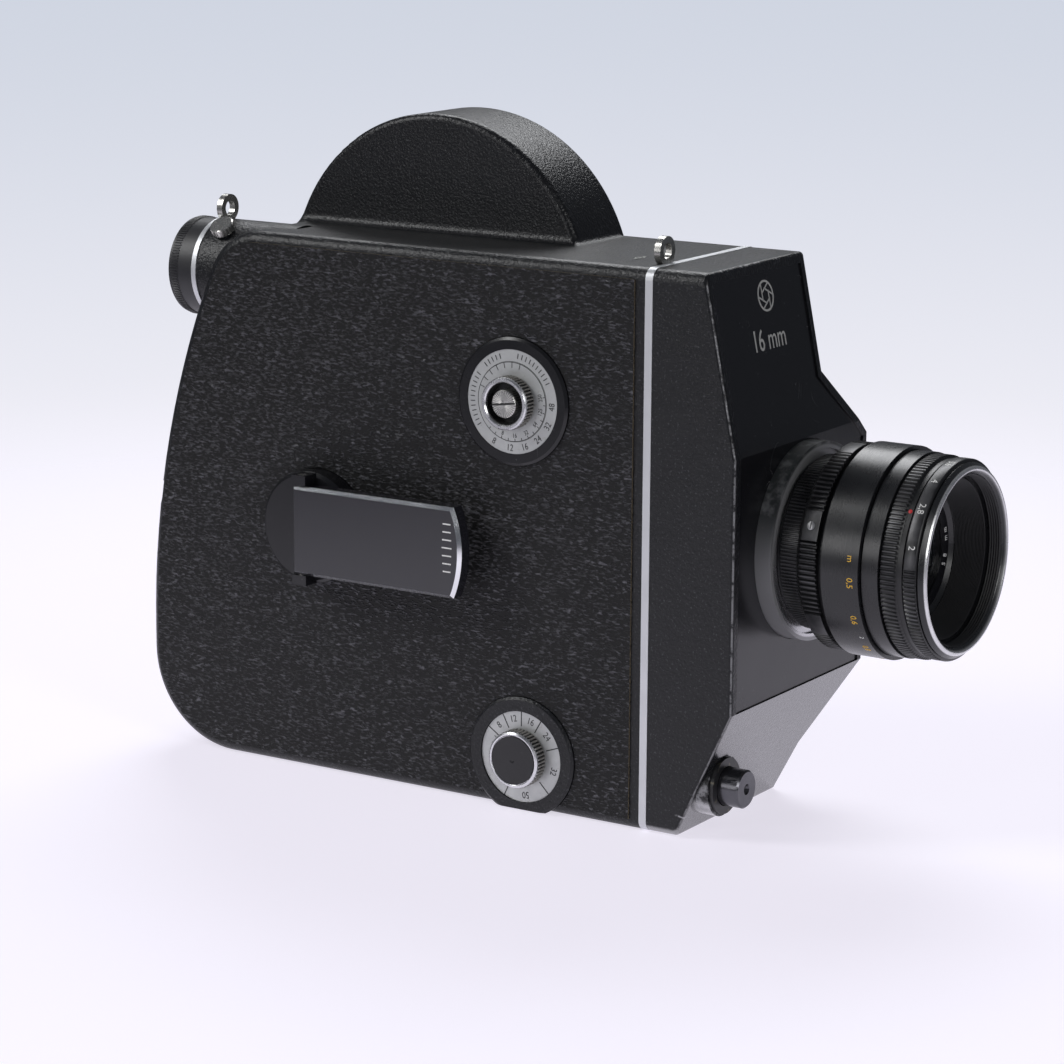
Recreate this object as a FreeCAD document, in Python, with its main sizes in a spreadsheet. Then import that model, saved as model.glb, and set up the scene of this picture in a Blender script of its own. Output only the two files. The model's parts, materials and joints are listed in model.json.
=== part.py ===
import FreeCAD, Part
import math
import os
import Sketcher

# A spring-wound reflex cine camera for 16 mm film, with its prime lens.
# Frame: origin at the mouth of the tripod socket in the base, +X towards the subject
# along the lens, +Y towards the film door, +Z up.  All lengths are in millimetres.

doc = FreeCAD.newDocument("CineCamera")
sheet = doc.addObject("Spreadsheet::Sheet", "Sizes")
nodes = []


class Dim:
    """A length: its number, and the expression that binds it to the sheet."""

    def __init__(self, value, text):
        self.value = value
        self.text = text

    def join(self, other, sign, value):
        return Dim(value, "(" + self.text + " " + sign + " " + dim(other).text + ")")

    def __add__(self, other):
        return self.join(other, "+", self.value + dim(other).value)

    def __sub__(self, other):
        return self.join(other, "-", self.value - dim(other).value)

    def __mul__(self, other):
        return self.join(other, "*", self.value * dim(other).value)

    def __truediv__(self, other):
        return self.join(other, "/", self.value / dim(other).value)

    def __radd__(self, other):
        return dim(other) + self

    def __rsub__(self, other):
        return dim(other) - self

    def __rmul__(self, other):
        return dim(other) * self

    def __neg__(self):
        return dim(0) - self


def dim(number):
    """A plain number as a Dim, or the Dim itself."""
    if isinstance(number, Dim):
        return number
    return Dim(float(number), "(" + repr(float(number)) + ")")


def root(length):
    return Dim(math.sqrt(length.value), "sqrt(" + length.text + ")")


def size(alias, value, note):
    """Write one driving dimension into the sheet and return it."""
    size.row += 1
    row = str(size.row)
    sheet.set("A" + row, alias)
    sheet.set("B" + row, repr(float(value)))
    sheet.set("C" + row, note)
    sheet.setAlias("B" + row, alias)
    return Dim(float(value), "Sizes." + alias)


size.row = 0

# ---- Camera body ---------------------------------------------------------------------
deck_height = size("deck_height", 163.3, "base to the flat deck")
body_width = size("body_width", 57.0, "side to side, door included")
tail_reach = size("tail_reach", 116.0, "socket to the rearmost point of the back")
joint_reach = size("joint_reach", 62.0, "socket to the joint of shell and front casing")
back_radius = size("back_radius", 285.0, "curve of the back")
back_rise = size("back_rise", 36.0, "height where the back starts to lean forward")
heel_radius = size("heel_radius", 30.0, "corner of base and back")
nape_radius = size("nape_radius", 20.0, "corner of deck and back")
edge_radius = size("edge_radius", 3.5, "rounding of the body's side edges")
wall = size("wall", 2.5, "wall of the casting")
floor_wall = size("floor_wall", 5.0, "floor of the casting")
ledge = size("ledge", 3.5, "ledge that carries the mechanism plate")
plate_level = size("plate_level", -0.5, "seat of the mechanism plate")
plate_thickness = size("plate_thickness", 2.0, "mechanism plate")
door_thickness = size("door_thickness", 3.0, "film door")
door_edge = size("door_edge", 1.5, "rounding of the door's rim")
door_reach = size("door_reach", 53.0, "socket to the door's front edge")
skin = size("skin", 0.6, "leatherette")
slack = size("slack", 0.3, "clearance round a loose piece")
fit = size("fit", 0.05, "clearance of a running fit, on the radius")

# ---- Spool hump ----------------------------------------------------------------------
hump_x = size("hump_x", -29.2, "supply chamber centre, along the body")
hump_z = size("hump_z", 145.0, "supply chamber centre, height")
hump_radius = size("hump_radius", 53.5, "supply chamber outside")
hump_side = size("hump_side", 1.5, "near side of the supply chamber")
hump_wall = size("hump_wall", 2.0, "near wall of the supply chamber")
hump_foot_radius = size("hump_foot_radius", 2.5, "fillet where the hump stands on the deck")
hump_edge = size("hump_edge", 2.0, "rounding of the hump's near edge")

# ---- Front casing --------------------------------------------------------------------
strip_width = size("strip_width", 2.4, "bright strip in the joint")
strip_depth = size("strip_depth", 5.0, "depth of the strip's ring")
front_reach = size("front_reach", 91.7, "socket to the upright front face")
brow_reach = size("brow_reach", 81.2, "socket to the front edge of the deck")
brow_height = size("brow_height", 112.0, "height where the front starts to lean back")
chin_height = size("chin_height", 38.7, "height where the chin starts")
chin_reach = size("chin_reach", 73.6, "socket to the front edge of the base")
wing_reach = size("wing_reach", 51.5, "outer side of the shutter housing")
wing_top = size("wing_top", 108.0, "top of the shutter housing's upright side")
wing_root = size("wing_root", 129.0, "height where the shutter housing leaves the side")
wing_heel = size("wing_heel", 15.0, "height where the chin's far edge turns down")
wing_heel_reach = size("wing_heel_reach", 34.0, "the chin's far edge there")
foot_reach = size("foot_reach", 31.3, "far side of the chin at the base")
casing_wall = size("casing_wall", 3.0, "wall of the front casing")
casing_well = size("casing_well", 11.5, "depth of the casing's shallow cavity")
rim_width = size("rim_width", 3.0, "rim round the front plate")
face_edge_radius = size("face_edge_radius", 1.2, "rounding of the casing's face")
tip_radius = size("tip_radius", 34.0, "rounded end of the crank paddle")
prism_room = size("prism_room", 15.0, "height and depth of the finder prism")
window_width = size("window_width", 10.3, "camera aperture, across the film")
window_height = size("window_height", 7.5, "camera aperture, along the film")
gate_half = size("gate_half", 30.0, "half the height of the gate")
core = size("spool_core", 16.0, "core of the spool")
facing = size("facing", 1.2, "thickness of the front plate")
facing_sink = size("facing_sink", 0.5, "how far the front plate lies below its rim")

# ---- Lens ----------------------------------------------------------------------------
lens_y = size("lens_y", 13.5, "lens axis across")
lens_z = size("lens_z", 82.3, "lens axis height")
flange_radius = size("flange_radius", 29.0, "lens mount flange")
flange_face = size("flange_face", 96.2, "front of the mount flange")
thread_radius = size("thread_radius", 21.0, "42 mm screw mount")
lock_radius = size("lock_radius", 25.0, "fine-knurled base ring of the lens")
lock_front = size("lock_front", 103.3, "front of the base ring")
scale_radius = size("scale_radius", 30.0, "depth scale ring")
scale_rear = size("scale_rear", 105.7, "rear of the depth scale ring")
scale_front = size("scale_front", 110.7, "front of the depth scale ring")
focus_radius = size("focus_radius", 30.7, "focus ring")
focus_rear = size("focus_rear", 113.0, "rear of the focus ring")
focus_front = size("focus_front", 124.5, "front of the focus ring")
head_radius = size("head_radius", 29.5, "plain ring of the lens head")
head_front = size("head_front", 130.0, "front of the plain ring")
iris_ring_radius = size("iris_ring_radius", 29.2, "aperture ring")
iris_ring_front = size("iris_ring_front", 136.9, "front of the aperture ring")
preset_radius = size("preset_radius", 28.8, "preset ring")
preset_front = size("preset_front", 141.2, "front of the preset ring")
bezel_radius = size("bezel_radius", 27.5, "front bezel")
bezel_front = size("bezel_front", 143.5, "foremost point of the lens")
filter_radius = size("filter_radius", 24.5, "filter thread")
thread_length = size("thread_length", 4.3, "filter thread in the head")
inner_barrel = size("inner_barrel", 22.0, "fixed inner barrel")
inner_bore = size("inner_bore", 18.0, "bore of the inner barrel")
head_tube = size("head_tube", 25.6, "sliding tube of the head")
name_radius = size("name_radius", 17.5, "outside of the ring round the front glass")
glass_radius = size("glass_radius", 14.4, "front glass")
well_depth = size("well_depth", 15.0, "bezel to the ring round the glass")
focus_travel = size("focus_travel", 7.0, "how far the head runs out")

# ---- Dials, crank and release --------------------------------------------------------
exposure_x = size("exposure_x", 18.9, "exposure dial along the body")
exposure_z = size("exposure_z", 121.5, "exposure dial height")
exposure_radius = size("exposure_radius", 18.7, "exposure dial surround")
exposure_scale = size("exposure_scale", 15.2, "exposure dial's silver scale")
exposure_disc = size("exposure_disc", 11.65, "exposure dial's turning disc")
exposure_knob = size("exposure_knob", 7.8, "exposure dial's knob")
speed_x = size("speed_x", 22.4, "speed dial along the body")
speed_z = size("speed_z", 16.2, "speed dial height")
speed_radius = size("speed_radius", 18.0, "speed dial surround")
speed_disc = size("speed_disc", 13.7, "speed dial's silver disc")
speed_knob = size("speed_knob", 8.6, "speed dial's knob")
knob_height = size("knob_height", 6.2, "dial knobs above the body's side")
rim_height = size("rim_height", 1.6, "dial surrounds above the body's side")
dial_shaft = size("dial_shaft", 2.0, "dial shafts, radius")
shaft_depth = size("shaft_depth", 9.0, "dial shafts behind the body's side")
winder_x = size("winder_x", -50.0, "spring barrel along the body")
winder_z = size("winder_z", 77.0, "spring barrel height")
crank_length = size("crank_length", 58.0, "hub centre to the crank's end")
crank_width = size("crank_width", 27.0, "crank paddle")
crank_thickness = size("crank_thickness", 5.0, "crank paddle")
crank_stand = size("crank_stand", 12.0, "face of the folded crank above the body's side")
hub_radius = size("hub_radius", 17.0, "crank hub")
crank_pin = size("crank_pin", 1.5, "crank's hinge pin, radius")
release_y = size("release_y", -18.5, "release button across")
release_z = size("release_z", 15.0, "release button height")
boss_radius = size("boss_radius", 9.0, "boss of the release button")
boss_front = size("boss_front", 84.0, "front of the boss")
collar_radius = size("collar_radius", 8.2, "release collar")
button_radius = size("button_radius", 5.6, "release button")
button_front = size("button_front", 91.7, "front of the release button")
button_travel = size("button_travel", 3.0, "release button travel")

# ---- Finder and fittings -------------------------------------------------------------
finder_y = size("finder_y", -12.5, "finder axis across")
finder_z = size("finder_z", 148.9, "finder axis height")
tube_radius = size("tube_radius", 15.0, "finder housing")
tube_set = size("tube_set", 18.9, "finder housing's end in from the back")
tube_end = tube_set - tail_reach
tube_bore = size("tube_bore", 11.0, "bore of the finder housing")
ring_width = size("ring_width", 1.6, "bright ring of the eyepiece")
ring_radius = size("ring_radius", 15.3, "bright ring of the eyepiece")
eyecup_radius = size("eyecup_radius", 14.85, "eyecup")
eyecup_reach = size("eyecup_reach", 10.6, "eyecup beyond the finder housing's end")
eyecup_end = tube_end - eyecup_reach
relay_radius = size("relay_radius", 8.0, "relay tube")
lug_radius = size("lug_radius", 4.2, "strap eye")
lug_hole = size("lug_hole", 2.3, "hole of the strap eye")
lug_thickness = size("lug_thickness", 2.0, "strap eye")
lug_y = size("lug_y", -16.5, "front strap eye across")
bush_radius = size("bush_radius", 7.5, "tripod bush")
bush_depth = size("bush_depth", 9.0, "tripod bush")
socket_radius = size("socket_radius", 3.175, "quarter-inch thread, major radius")
clamp_angle = size("clamp_angle", 34.0, "clamp screw's lean from upright, degrees")
clamp_set = size("clamp_set", 6.1, "clamp screw in from the finder housing's end")
clamp_x = tube_end + clamp_set
clamp_radius = size("clamp_radius", 3.6, "clamp screw head")

# ---- Mechanism and film path ---------------------------------------------------------
gear_module = size("gear_module", 1.5, "tooth module of the spring wheel and its pinion")
wheel_teeth = size("wheel_teeth", 48, "teeth of the spring wheel")
pinion_teeth = size("pinion_teeth", 16, "teeth of the pinion")
gear_play = size("gear_play", 0.35, "extra centre distance of the pair")
wheel_level = size("wheel_level", -4.6, "near side of the spring wheel")
wheel_thickness = size("wheel_thickness", 2.6, "spring wheel and pinion")
pinion_angle = size("pinion_angle", -7.5, "pinion seen from the barrel, degrees")
barrel_radius = size("barrel_radius", 36.0, "spring barrel")
barrel_near = size("barrel_near", -23.0, "near side of the spring barrel")
barrel_wall = size("barrel_wall", 1.5, "wall of the spring barrel")
arbor_radius = size("arbor_radius", 5.0, "winding arbor")
ribbon = size("ribbon", 0.7, "mainspring ribbon")
ribbon_pitch = size("ribbon_pitch", 4.0, "mainspring coil to coil")
ribbon_turns = size("ribbon_turns", 6, "turns of the mainspring")
film_plane = size("film_plane", 50.0, "film plane along the body")
sprocket_radius = size("sprocket_radius", 9.7, "eight perforations round")
sprocket_teeth = size("sprocket_teeth", 8, "teeth of the sprocket")
film_near = size("film_near", 5.5, "near edge of the film")
film_width = size("film_width", 16.0, "film")
spool_radius = size("spool_radius", 46.0, "hundred-foot spool")
takeup_x = size("takeup_x", -62.0, "take-up spool along the body")
takeup_z = size("takeup_z", 54.0, "take-up spool height")
spindle_radius = size("spindle_radius", 3.9, "spool spindles")
mirror_x = size("mirror_x", 76.5, "mirror shutter centre along the body")
mirror_y = size("mirror_y", 21.5, "mirror shutter centre across")
mirror_radius = size("mirror_radius", 14.0, "mirror shutter")
pin_radius = size("pin_radius", 1.2, "door hinge pin")
knuckle_radius = size("knuckle_radius", 2.4, "door hinge knuckles")
hinge_x = size("hinge_x", 55.0, "door hinge along the body")
hinge_stand = size("hinge_stand", 2.7, "door hinge proud of the side")
hinge_y = body_width / 2 + hinge_stand
latch_set = size("latch_set", 18.0, "door latch in from the back")
latch_x = latch_set - tail_reach
latch_z = size("latch_z", 80.0, "door latch height")
latch_radius = size("latch_radius", 9.0, "door latch knob")
doc.recompute()

near_side = -body_width / 2
far_side = body_width / 2
door_level = far_side - door_thickness
casing_rear = joint_reach + strip_width

# Where each sketch plane lies, which way its pads and pockets run, and the sign of its level.
PLANES = {
    "x": ("YZ_Plane", False, True, 1),
    "y": ("XZ_Plane", True, False, -1),
    "z": ("XY_Plane", False, True, 1),
}
# Turns a piece drawn along +X so that it points the named way.
TURNS = {
    "+x": FreeCAD.Rotation(),
    "-x": FreeCAD.Rotation(FreeCAD.Vector(0, 0, 1), 180),
    "+y": FreeCAD.Rotation(FreeCAD.Vector(0, 0, 1), 90),
    "-y": FreeCAD.Rotation(FreeCAD.Vector(0, 0, 1), -90),
    "+z": FreeCAD.Rotation(FreeCAD.Vector(0, 1, 0), -90),
    "-z": FreeCAD.Rotation(FreeCAD.Vector(0, 1, 0), 90),
}


def new_body(label):
    body = doc.addObject("PartDesign::Body", label)
    body.Label = label
    nodes.append(body)
    return body


def tool_body(label):
    """A body that only shapes another one and is no piece of its own."""
    body = doc.addObject("PartDesign::Body", label)
    body.Label = label
    return body


def subtract(body, tool):
    """Cut one body out of another."""
    before = body.Shape.Volume
    feature = body.newObject("PartDesign::Boolean", body.Label + "_boolean")
    feature.Type = "Cut"
    feature.setObjects([tool])
    doc.recompute()
    if body.Shape.Volume >= before - 1e-6:
        raise ValueError(body.Label + ": a tool removed nothing")


def place(piece, turn, at):
    """Turn a piece and bind its place to the sheet."""
    piece.Placement = FreeCAD.Placement(FreeCAD.Vector(), turn)
    for axis, length in zip("xyz", at):
        piece.setExpression("Placement.Base." + axis, dim(length).text)


def tie(sketch, kind, edge, end, length):
    """Hold one coordinate of an edge's end at a length from the sketch's origin."""
    index = sketch.addConstraint(Sketcher.Constraint(kind, -1, 1, edge, end, length.value))
    sketch.setExpression("Constraints[" + str(index) + "]", length.text)


def draw_loop(sketch, points):
    """A closed outline.  A third value makes the stretch up to that point an arc of that
    radius, with its centre on the left where the radius is positive."""
    first = sketch.GeometryCount
    count = len(points)
    flat = []
    for point in points:
        flat.append(FreeCAD.Vector(dim(point[0]).value, dim(point[1]).value, 0))
    for i in range(count):
        start = flat[i]
        end = flat[(i + 1) % count]
        target = points[(i + 1) % count]
        if len(target) == 2:
            sketch.addGeometry(Part.LineSegment(start, end))
            continue
        radius = dim(target[2]).value
        chord = end - start
        sagitta = abs(radius) - math.sqrt(radius ** 2 - chord.Length ** 2 / 4)
        side = FreeCAD.Vector(chord.y, -chord.x, 0).normalize()
        middle = (start + end) / 2 + side * math.copysign(sagitta, radius)
        sketch.addGeometry(Part.Arc(start, middle, end))
        if radius < 0:
            ends_swapped.add((sketch.Name, first + i))
    for i in range(count):
        arriving = first + (i - 1) % count
        leaving = first + i
        out_end = start_of(sketch, leaving)
        sketch.addConstraint(Sketcher.Constraint("Coincident", arriving, 3 - start_of(sketch, arriving),
                                                 leaving, out_end))
        tie(sketch, "DistanceX", leaving, out_end, dim(points[i][0]))
        tie(sketch, "DistanceY", leaving, out_end, dim(points[i][1]))
        if len(points[i]) == 3:
            length = dim(points[i][2])
            index = sketch.addConstraint(Sketcher.Constraint("Radius", arriving, abs(length.value)))
            sketch.setExpression("Constraints[" + str(index) + "]", "abs(" + length.text + ")")


ends_swapped = set()


def start_of(sketch, edge):
    """An arc that turns right is kept from its end to its start."""
    return 2 if (sketch.Name, edge) in ends_swapped else 1


def draw_circle(sketch, across, up, radius):
    centre = FreeCAD.Vector(dim(across).value, dim(up).value, 0)
    edge = sketch.addGeometry(Part.Circle(centre, FreeCAD.Vector(0, 0, 1), dim(radius).value))
    tie(sketch, "DistanceX", edge, 3, dim(across))
    tie(sketch, "DistanceY", edge, 3, dim(up))
    index = sketch.addConstraint(Sketcher.Constraint("Radius", edge, dim(radius).value))
    sketch.setExpression("Constraints[" + str(index) + "]", dim(radius).text)


def new_sketch(body, role, level, shapes):
    """A sketch on one of the body's own planes.  A shape of three plain lengths is a circle."""
    sketch = body.newObject("Sketcher::SketchObject", body.Label + "_sketch")
    for plane in body.Origin.OriginFeatures:
        if plane.Role == role:
            sketch.AttachmentSupport = [(plane, "")]
    sketch.MapMode = "FlatFace"
    sketch.setExpression("AttachmentOffset.Base.z", dim(level).text)
    for shape in shapes:
        if isinstance(shape, tuple):
            draw_circle(sketch, *shape)
        else:
            draw_loop(sketch, shape)
    return sketch


def pad(body, normal, level, length, shapes):
    """Add material from a level, along the positive axis named by normal."""
    role, flip, unused, sign = PLANES[normal]
    feature = body.newObject("PartDesign::Pad", body.Label + "_pad")
    feature.Profile = new_sketch(body, role, dim(level) * sign, shapes)
    feature.Reversed = flip
    feature.setExpression("Length", dim(length).text)
    doc.recompute()
    return feature


def cut(body, normal, level, length, shapes):
    """Remove material from a level, along the positive axis named by normal."""
    before = body.Shape.Volume
    role, unused, flip, sign = PLANES[normal]
    feature = body.newObject("PartDesign::Pocket", body.Label + "_pocket")
    feature.Profile = new_sketch(body, role, dim(level) * sign, shapes)
    feature.Reversed = flip
    feature.setExpression("Length", dim(length).text)
    doc.recompute()
    if body.Shape.Volume >= before - 1e-6:
        raise ValueError(body.Label + ": a pocket removed nothing")
    return feature


def box_loop(low_u, low_v, high_u, high_v):
    return [(low_u, low_v), (high_u, low_v), (high_u, high_v), (low_u, high_v)]


def corner_loop(low_u, low_v, high_u, high_v, near_radius, far_radius):
    """A rectangle with its two near corners and its upper far corner rounded."""
    return [
        (low_u + near_radius, low_v, near_radius),
        (high_u, low_v),
        (high_u, high_v - far_radius),
        (high_u - far_radius, high_v, far_radius),
        (low_u + near_radius, high_v),
        (low_u, high_v - near_radius, near_radius),
        (low_u, low_v + near_radius),
    ]


def revolve(body, profile):
    feature = body.newObject("PartDesign::Revolution", body.Label + "_turning")
    sketch = new_sketch(body, "XY_Plane", 0, [profile])
    feature.Profile = sketch
    feature.ReferenceAxis = (sketch, ["H_Axis"])
    feature.Angle = 360
    doc.recompute()
    return feature


def turned(label, way, at, profile):
    """A turned piece.  The profile gives (distance along the axis, radius) corner by corner."""
    body = new_body(label)
    revolve(body, profile)
    place(body, TURNS[way], at)
    return body


def ring(label, way, at, rear, front, bore, outside):
    return turned(label, way, at, [(rear, bore), (front, bore), (front, outside), (rear, outside)])


def round_edges(body, radius, wanted, kind="Fillet"):
    """Round or bevel the edges that the test picks."""
    doc.recompute()
    base = body.Tip
    names = []
    for i, edge in enumerate(base.Shape.Edges):
        if wanted(edge):
            names.append("Edge" + str(i + 1))
    if not names:
        raise ValueError(body.Label + ": no edge to round")
    feature = body.newObject("PartDesign::" + kind, body.Label + "_" + kind.lower())
    feature.Base = (base, names)
    feature.setExpression("Radius" if kind == "Fillet" else "Size", dim(radius).text)
    doc.recompute()
    return feature


def dome(radius, rise):
    """The radius of a glass surface that rises by the given amount at its middle."""
    return (radius * radius + rise * rise) / (rise * 2)


def repeat_round(body, feature, count):
    """Repeat a feature round the body's own X axis."""
    pattern = body.newObject("PartDesign::PolarPattern", body.Label + "_teeth")
    pattern.Originals = [feature]
    for axis in body.Origin.OriginFeatures:
        if axis.Role == "X_Axis":
            pattern.Axis = (axis, [""])
    pattern.Angle = 360
    pattern.setExpression("Occurrences", count.text)
    body.Tip = pattern
    doc.recompute()


# ---- Outlines shared by the castings --------------------------------------------------
def body_outline(inset, front, floor):
    """The body seen from the side, drawn smaller by inset, up to front and down to floor."""
    back = -tail_reach + inset
    top = deck_height - inset
    arc = back_radius - inset
    nape = nape_radius - inset
    heel = heel_radius - inset
    centre_x = back_radius - tail_reach
    nape_z = top - nape
    nape_x = centre_x - root((arc - nape) * (arc - nape) - (nape_z - back_rise) * (nape_z - back_rise))
    stretch = arc / (arc - nape)
    heel_x = heel_radius - tail_reach - root(heel * heel - (heel_radius - floor) * (heel_radius - floor))
    return [
        (heel_x, floor, heel),
        (front, floor),
        (front, top),
        (nape_x, top),
        (centre_x + (nape_x - centre_x) * stretch, back_rise + (nape_z - back_rise) * stretch, nape),
        (back, back_rise, arc),
        (back, heel_radius),
    ]


def hump_circle(inset):
    return (hump_x, hump_z, hump_radius - inset)


def casing_outline():
    """The front casing seen from the front."""
    corner = edge_radius
    return [
        (near_side + corner, 0, corner),
        (foot_reach, 0),
        (wing_heel_reach, wing_heel),
        (wing_reach, chin_height),
        (wing_reach, wing_top),
        (far_side, wing_root),
        (far_side, deck_height - door_edge),
        (far_side - door_edge, deck_height, door_edge),
        (near_side + corner, deck_height),
        (near_side, deck_height - corner, corner),
        (near_side, corner),
    ]


def front_profile(rear, setback):
    """The front casing seen from the side, its face set back."""
    return [
        (rear, 0),
        (chin_reach - setback, 0),
        (front_reach - setback, chin_height),
        (front_reach - setback, brow_height),
        (brow_reach - setback, deck_height),
        (rear, deck_height),
    ]


frame_loop = box_loop(-100, -100, 100, 300)

# ---- Main shell: the cast body with its spool hump -------------------------------------
shell = new_body("main_shell")
pad(shell, "y", near_side, door_level - near_side, [body_outline(0, joint_reach, 0)])
near_edge = near_side.value


def on_near_side(edge):
    box = edge.BoundBox
    return box.YMax < near_edge + 0.01 and box.XMin < joint_reach.value - 0.1


round_edges(shell, edge_radius, on_near_side)
pad(shell, "y", hump_side, door_level - hump_side, [hump_circle(0)])


def hump_foot(edge):
    """The lines where the hump stands on the deck."""
    box = edge.BoundBox
    level = abs(box.ZMin - deck_height.value) < 0.01 and box.ZLength < 0.01
    beside = abs(box.YMin - hump_side.value) < 0.01 and box.YLength < 0.01 and box.XLength > 50
    across = box.YLength > 20 and box.XLength < 0.01 and abs(box.XMin - hump_x.value) < 60
    return level and (beside or across)


round_edges(shell, hump_foot_radius, hump_foot)


def hump_rim(edge):
    box = edge.BoundBox
    return abs(box.YMin - hump_side.value) < 0.01 and box.YLength < 0.01 and box.ZMax > deck_height.value + 5


round_edges(shell, hump_edge, hump_rim)
pad(shell, "y", door_level, door_thickness,
    [box_loop(door_reach + slack, 0, joint_reach, deck_height)])
round_edges(shell, door_edge, lambda edge: edge.BoundBox.YMin > far_side.value - 0.01
            and edge.BoundBox.ZMin > deck_height.value - 0.01 and edge.BoundBox.XLength > 5)
pad(shell, "x", tube_end, 30, [(finder_y, finder_z, tube_radius)])
cut(shell, "x", tube_end - 12, 12, [(finder_y, finder_z, ring_radius + slack)])
cavity_front = joint_reach - wall - 1.5
cut(shell, "y", plate_level, door_level - plate_level + 1, [body_outline(wall, cavity_front - 5, floor_wall)])
cut(shell, "y", hump_side + hump_wall, far_side, [hump_circle(wall)])
mechanism_near = near_side + wall
cut(shell, "y", mechanism_near, plate_level - mechanism_near + 0.1,
    [body_outline(wall + ledge, cavity_front, floor_wall + 1)])
cut(shell, "x", tube_end - 1, 40, [(finder_y, finder_z, tube_bore)])
cut(shell, "x", cavity_front - 6, 20, [(finder_y, finder_z, relay_radius + slack)])
cut(shell, "x", cavity_front - 6, 20,
    [box_loop(lens_y - 9, lens_z - 17, door_level - 1, lens_z + 19)])
boss_height = bush_depth + 2
pad(shell, "z", 0, boss_height, [(0, 0, bush_radius + wall)])
cut(shell, "z", -1, bush_depth + 1, [(0, 0, bush_radius)])
for dial_x, dial_z in ((exposure_x, exposure_z), (speed_x, speed_z)):
    cut(shell, "y", near_side - 1, wall + 2, [(dial_x, dial_z, dial_shaft + fit)])
cut(shell, "y", near_side - 1, wall + 2, [(winder_x, winder_z, arbor_radius + fit)])
knuckle_step = (deck_height - 40) / 5
for i in (0, 2, 4):
    low = knuckle_step * i + 20
    leaf = box_loop(hinge_x - 0.2, far_side, joint_reach - 1, hinge_y - pin_radius - 0.2)
    pad(shell, "z", low, knuckle_step - slack, [leaf])
    pad(shell, "z", low, knuckle_step - slack, [(hinge_x, hinge_y, knuckle_radius)])
    cut(shell, "z", low - 1, knuckle_step + 1, [(hinge_x, hinge_y, pin_radius + fit)])

# ---- Mechanism plate between the spring side and the film side --------------------------
pinion_distance = gear_module * (wheel_teeth + pinion_teeth) / 2 + gear_play
bearing = math.radians(pinion_angle.value)
sprocket_x = winder_x + pinion_distance * math.cos(bearing)
sprocket_z = winder_z + pinion_distance * math.sin(bearing)
plate = new_body("mechanism_plate")
pad(plate, "y", plate_level, plate_thickness,
    [body_outline(wall + slack, cavity_front - 5 - slack, floor_wall + slack)])
cut(plate, "y", plate_level - 1, plate_thickness + 2,
    [box_loop(-bush_radius - wall - slack, -1, bush_radius + wall + slack, boss_height + slack)])
for shaft_x, shaft_z, bore in (
    (sprocket_x, sprocket_z, dim(3)),
    (hump_x, hump_z, dim(2.5)),
    (takeup_x, takeup_z, dim(2.5)),
    (winder_x, winder_z, dim(3)),
):
    cut(plate, "y", plate_level - 1, plate_thickness + 2, [(shaft_x, shaft_z, bore + fit)])

# ---- Leatherette, one piece on each side ------------------------------------------------
side_cover = new_body("side_leatherette")
pad(side_cover, "y", near_side - skin, skin, [body_outline(3.2, joint_reach - 3.3, 3.2)])
cut(side_cover, "y", near_side - skin - 1, 3, [(exposure_x, exposure_z, exposure_radius + 0.2)])
cut(side_cover, "y", near_side - skin - 1, 3, [(speed_x, speed_z, speed_radius + 0.2)])
cut(side_cover, "y", near_side - skin - 1, 3, [(winder_x, winder_z, hub_radius + 0.2)])

# ---- Film door with its leatherette, hinge pin and latch --------------------------------
door = new_body("film_door")
door_gap = dim(0.1)
pad(door, "y", door_level + door_gap, door_thickness - door_gap, [body_outline(0, door_reach, 0)])
pad(door, "y", door_level + door_gap, door_thickness - door_gap, [hump_circle(0)])


def door_rim(edge):
    box = edge.BoundBox
    outer = abs(box.YMin - far_side.value) < 0.01 and box.YLength < 0.01
    return outer and box.XMin < door_reach.value - 0.5


round_edges(door, door_edge, door_rim)
for i in (1, 3):
    low = knuckle_step * i + 20
    lift = far_side + 0.2
    leaf_top = hinge_y - pin_radius - 0.2
    leaf = [(door_reach - 6, far_side), (door_reach - 1, far_side), (door_reach - 0.8, lift),
            (hinge_x + 0.2, lift), (hinge_x + 0.2, leaf_top), (door_reach - 6, leaf_top)]
    pad(door, "z", low, knuckle_step - slack, [leaf])
    pad(door, "z", low, knuckle_step - slack, [(hinge_x, hinge_y, knuckle_radius)])
    cut(door, "z", low - 1, knuckle_step + 1, [(hinge_x, hinge_y, pin_radius + fit)])
cut(door, "y", door_level - 1, 6, [(latch_x, latch_z, dial_shaft + fit)])

door_cover = new_body("door_leatherette")
pad(door_cover, "y", far_side, skin, [body_outline(4.0, door_reach - 8, 4.0)])
pad(door_cover, "y", far_side, skin, [hump_circle(4.0)])
cut(door_cover, "y", far_side - 1, 3, [(latch_x, latch_z, latch_radius + 0.3)])

turned("door_hinge_pin", "+z", (hinge_x, hinge_y, 19.5), [
    (0, 0), (0, knuckle_radius), (0.4, knuckle_radius), (0.4, pin_radius),
    (knuckle_step * 5 + 0.5, pin_radius), (knuckle_step * 5 + 0.5, 0)])
turned("door_latch", "+y", (latch_x, far_side, latch_z), [
    (-door_thickness - 1.9, 0), (5.0, 0), (5.0, latch_radius - 2), (4.0, latch_radius),
    (0.2, latch_radius), (0.2, dial_shaft), (-door_thickness - 1.9, dial_shaft)])
tongue = new_body("latch_tongue")
pad(tongue, "y", door_level - 1.9, 1.5, [box_loop(latch_x - 10.5, latch_z - 3, latch_x + 4, latch_z + 3)])
cut(tongue, "y", door_level - 4, 4, [(latch_x, latch_z, dial_shaft + 0.01)])

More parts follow.
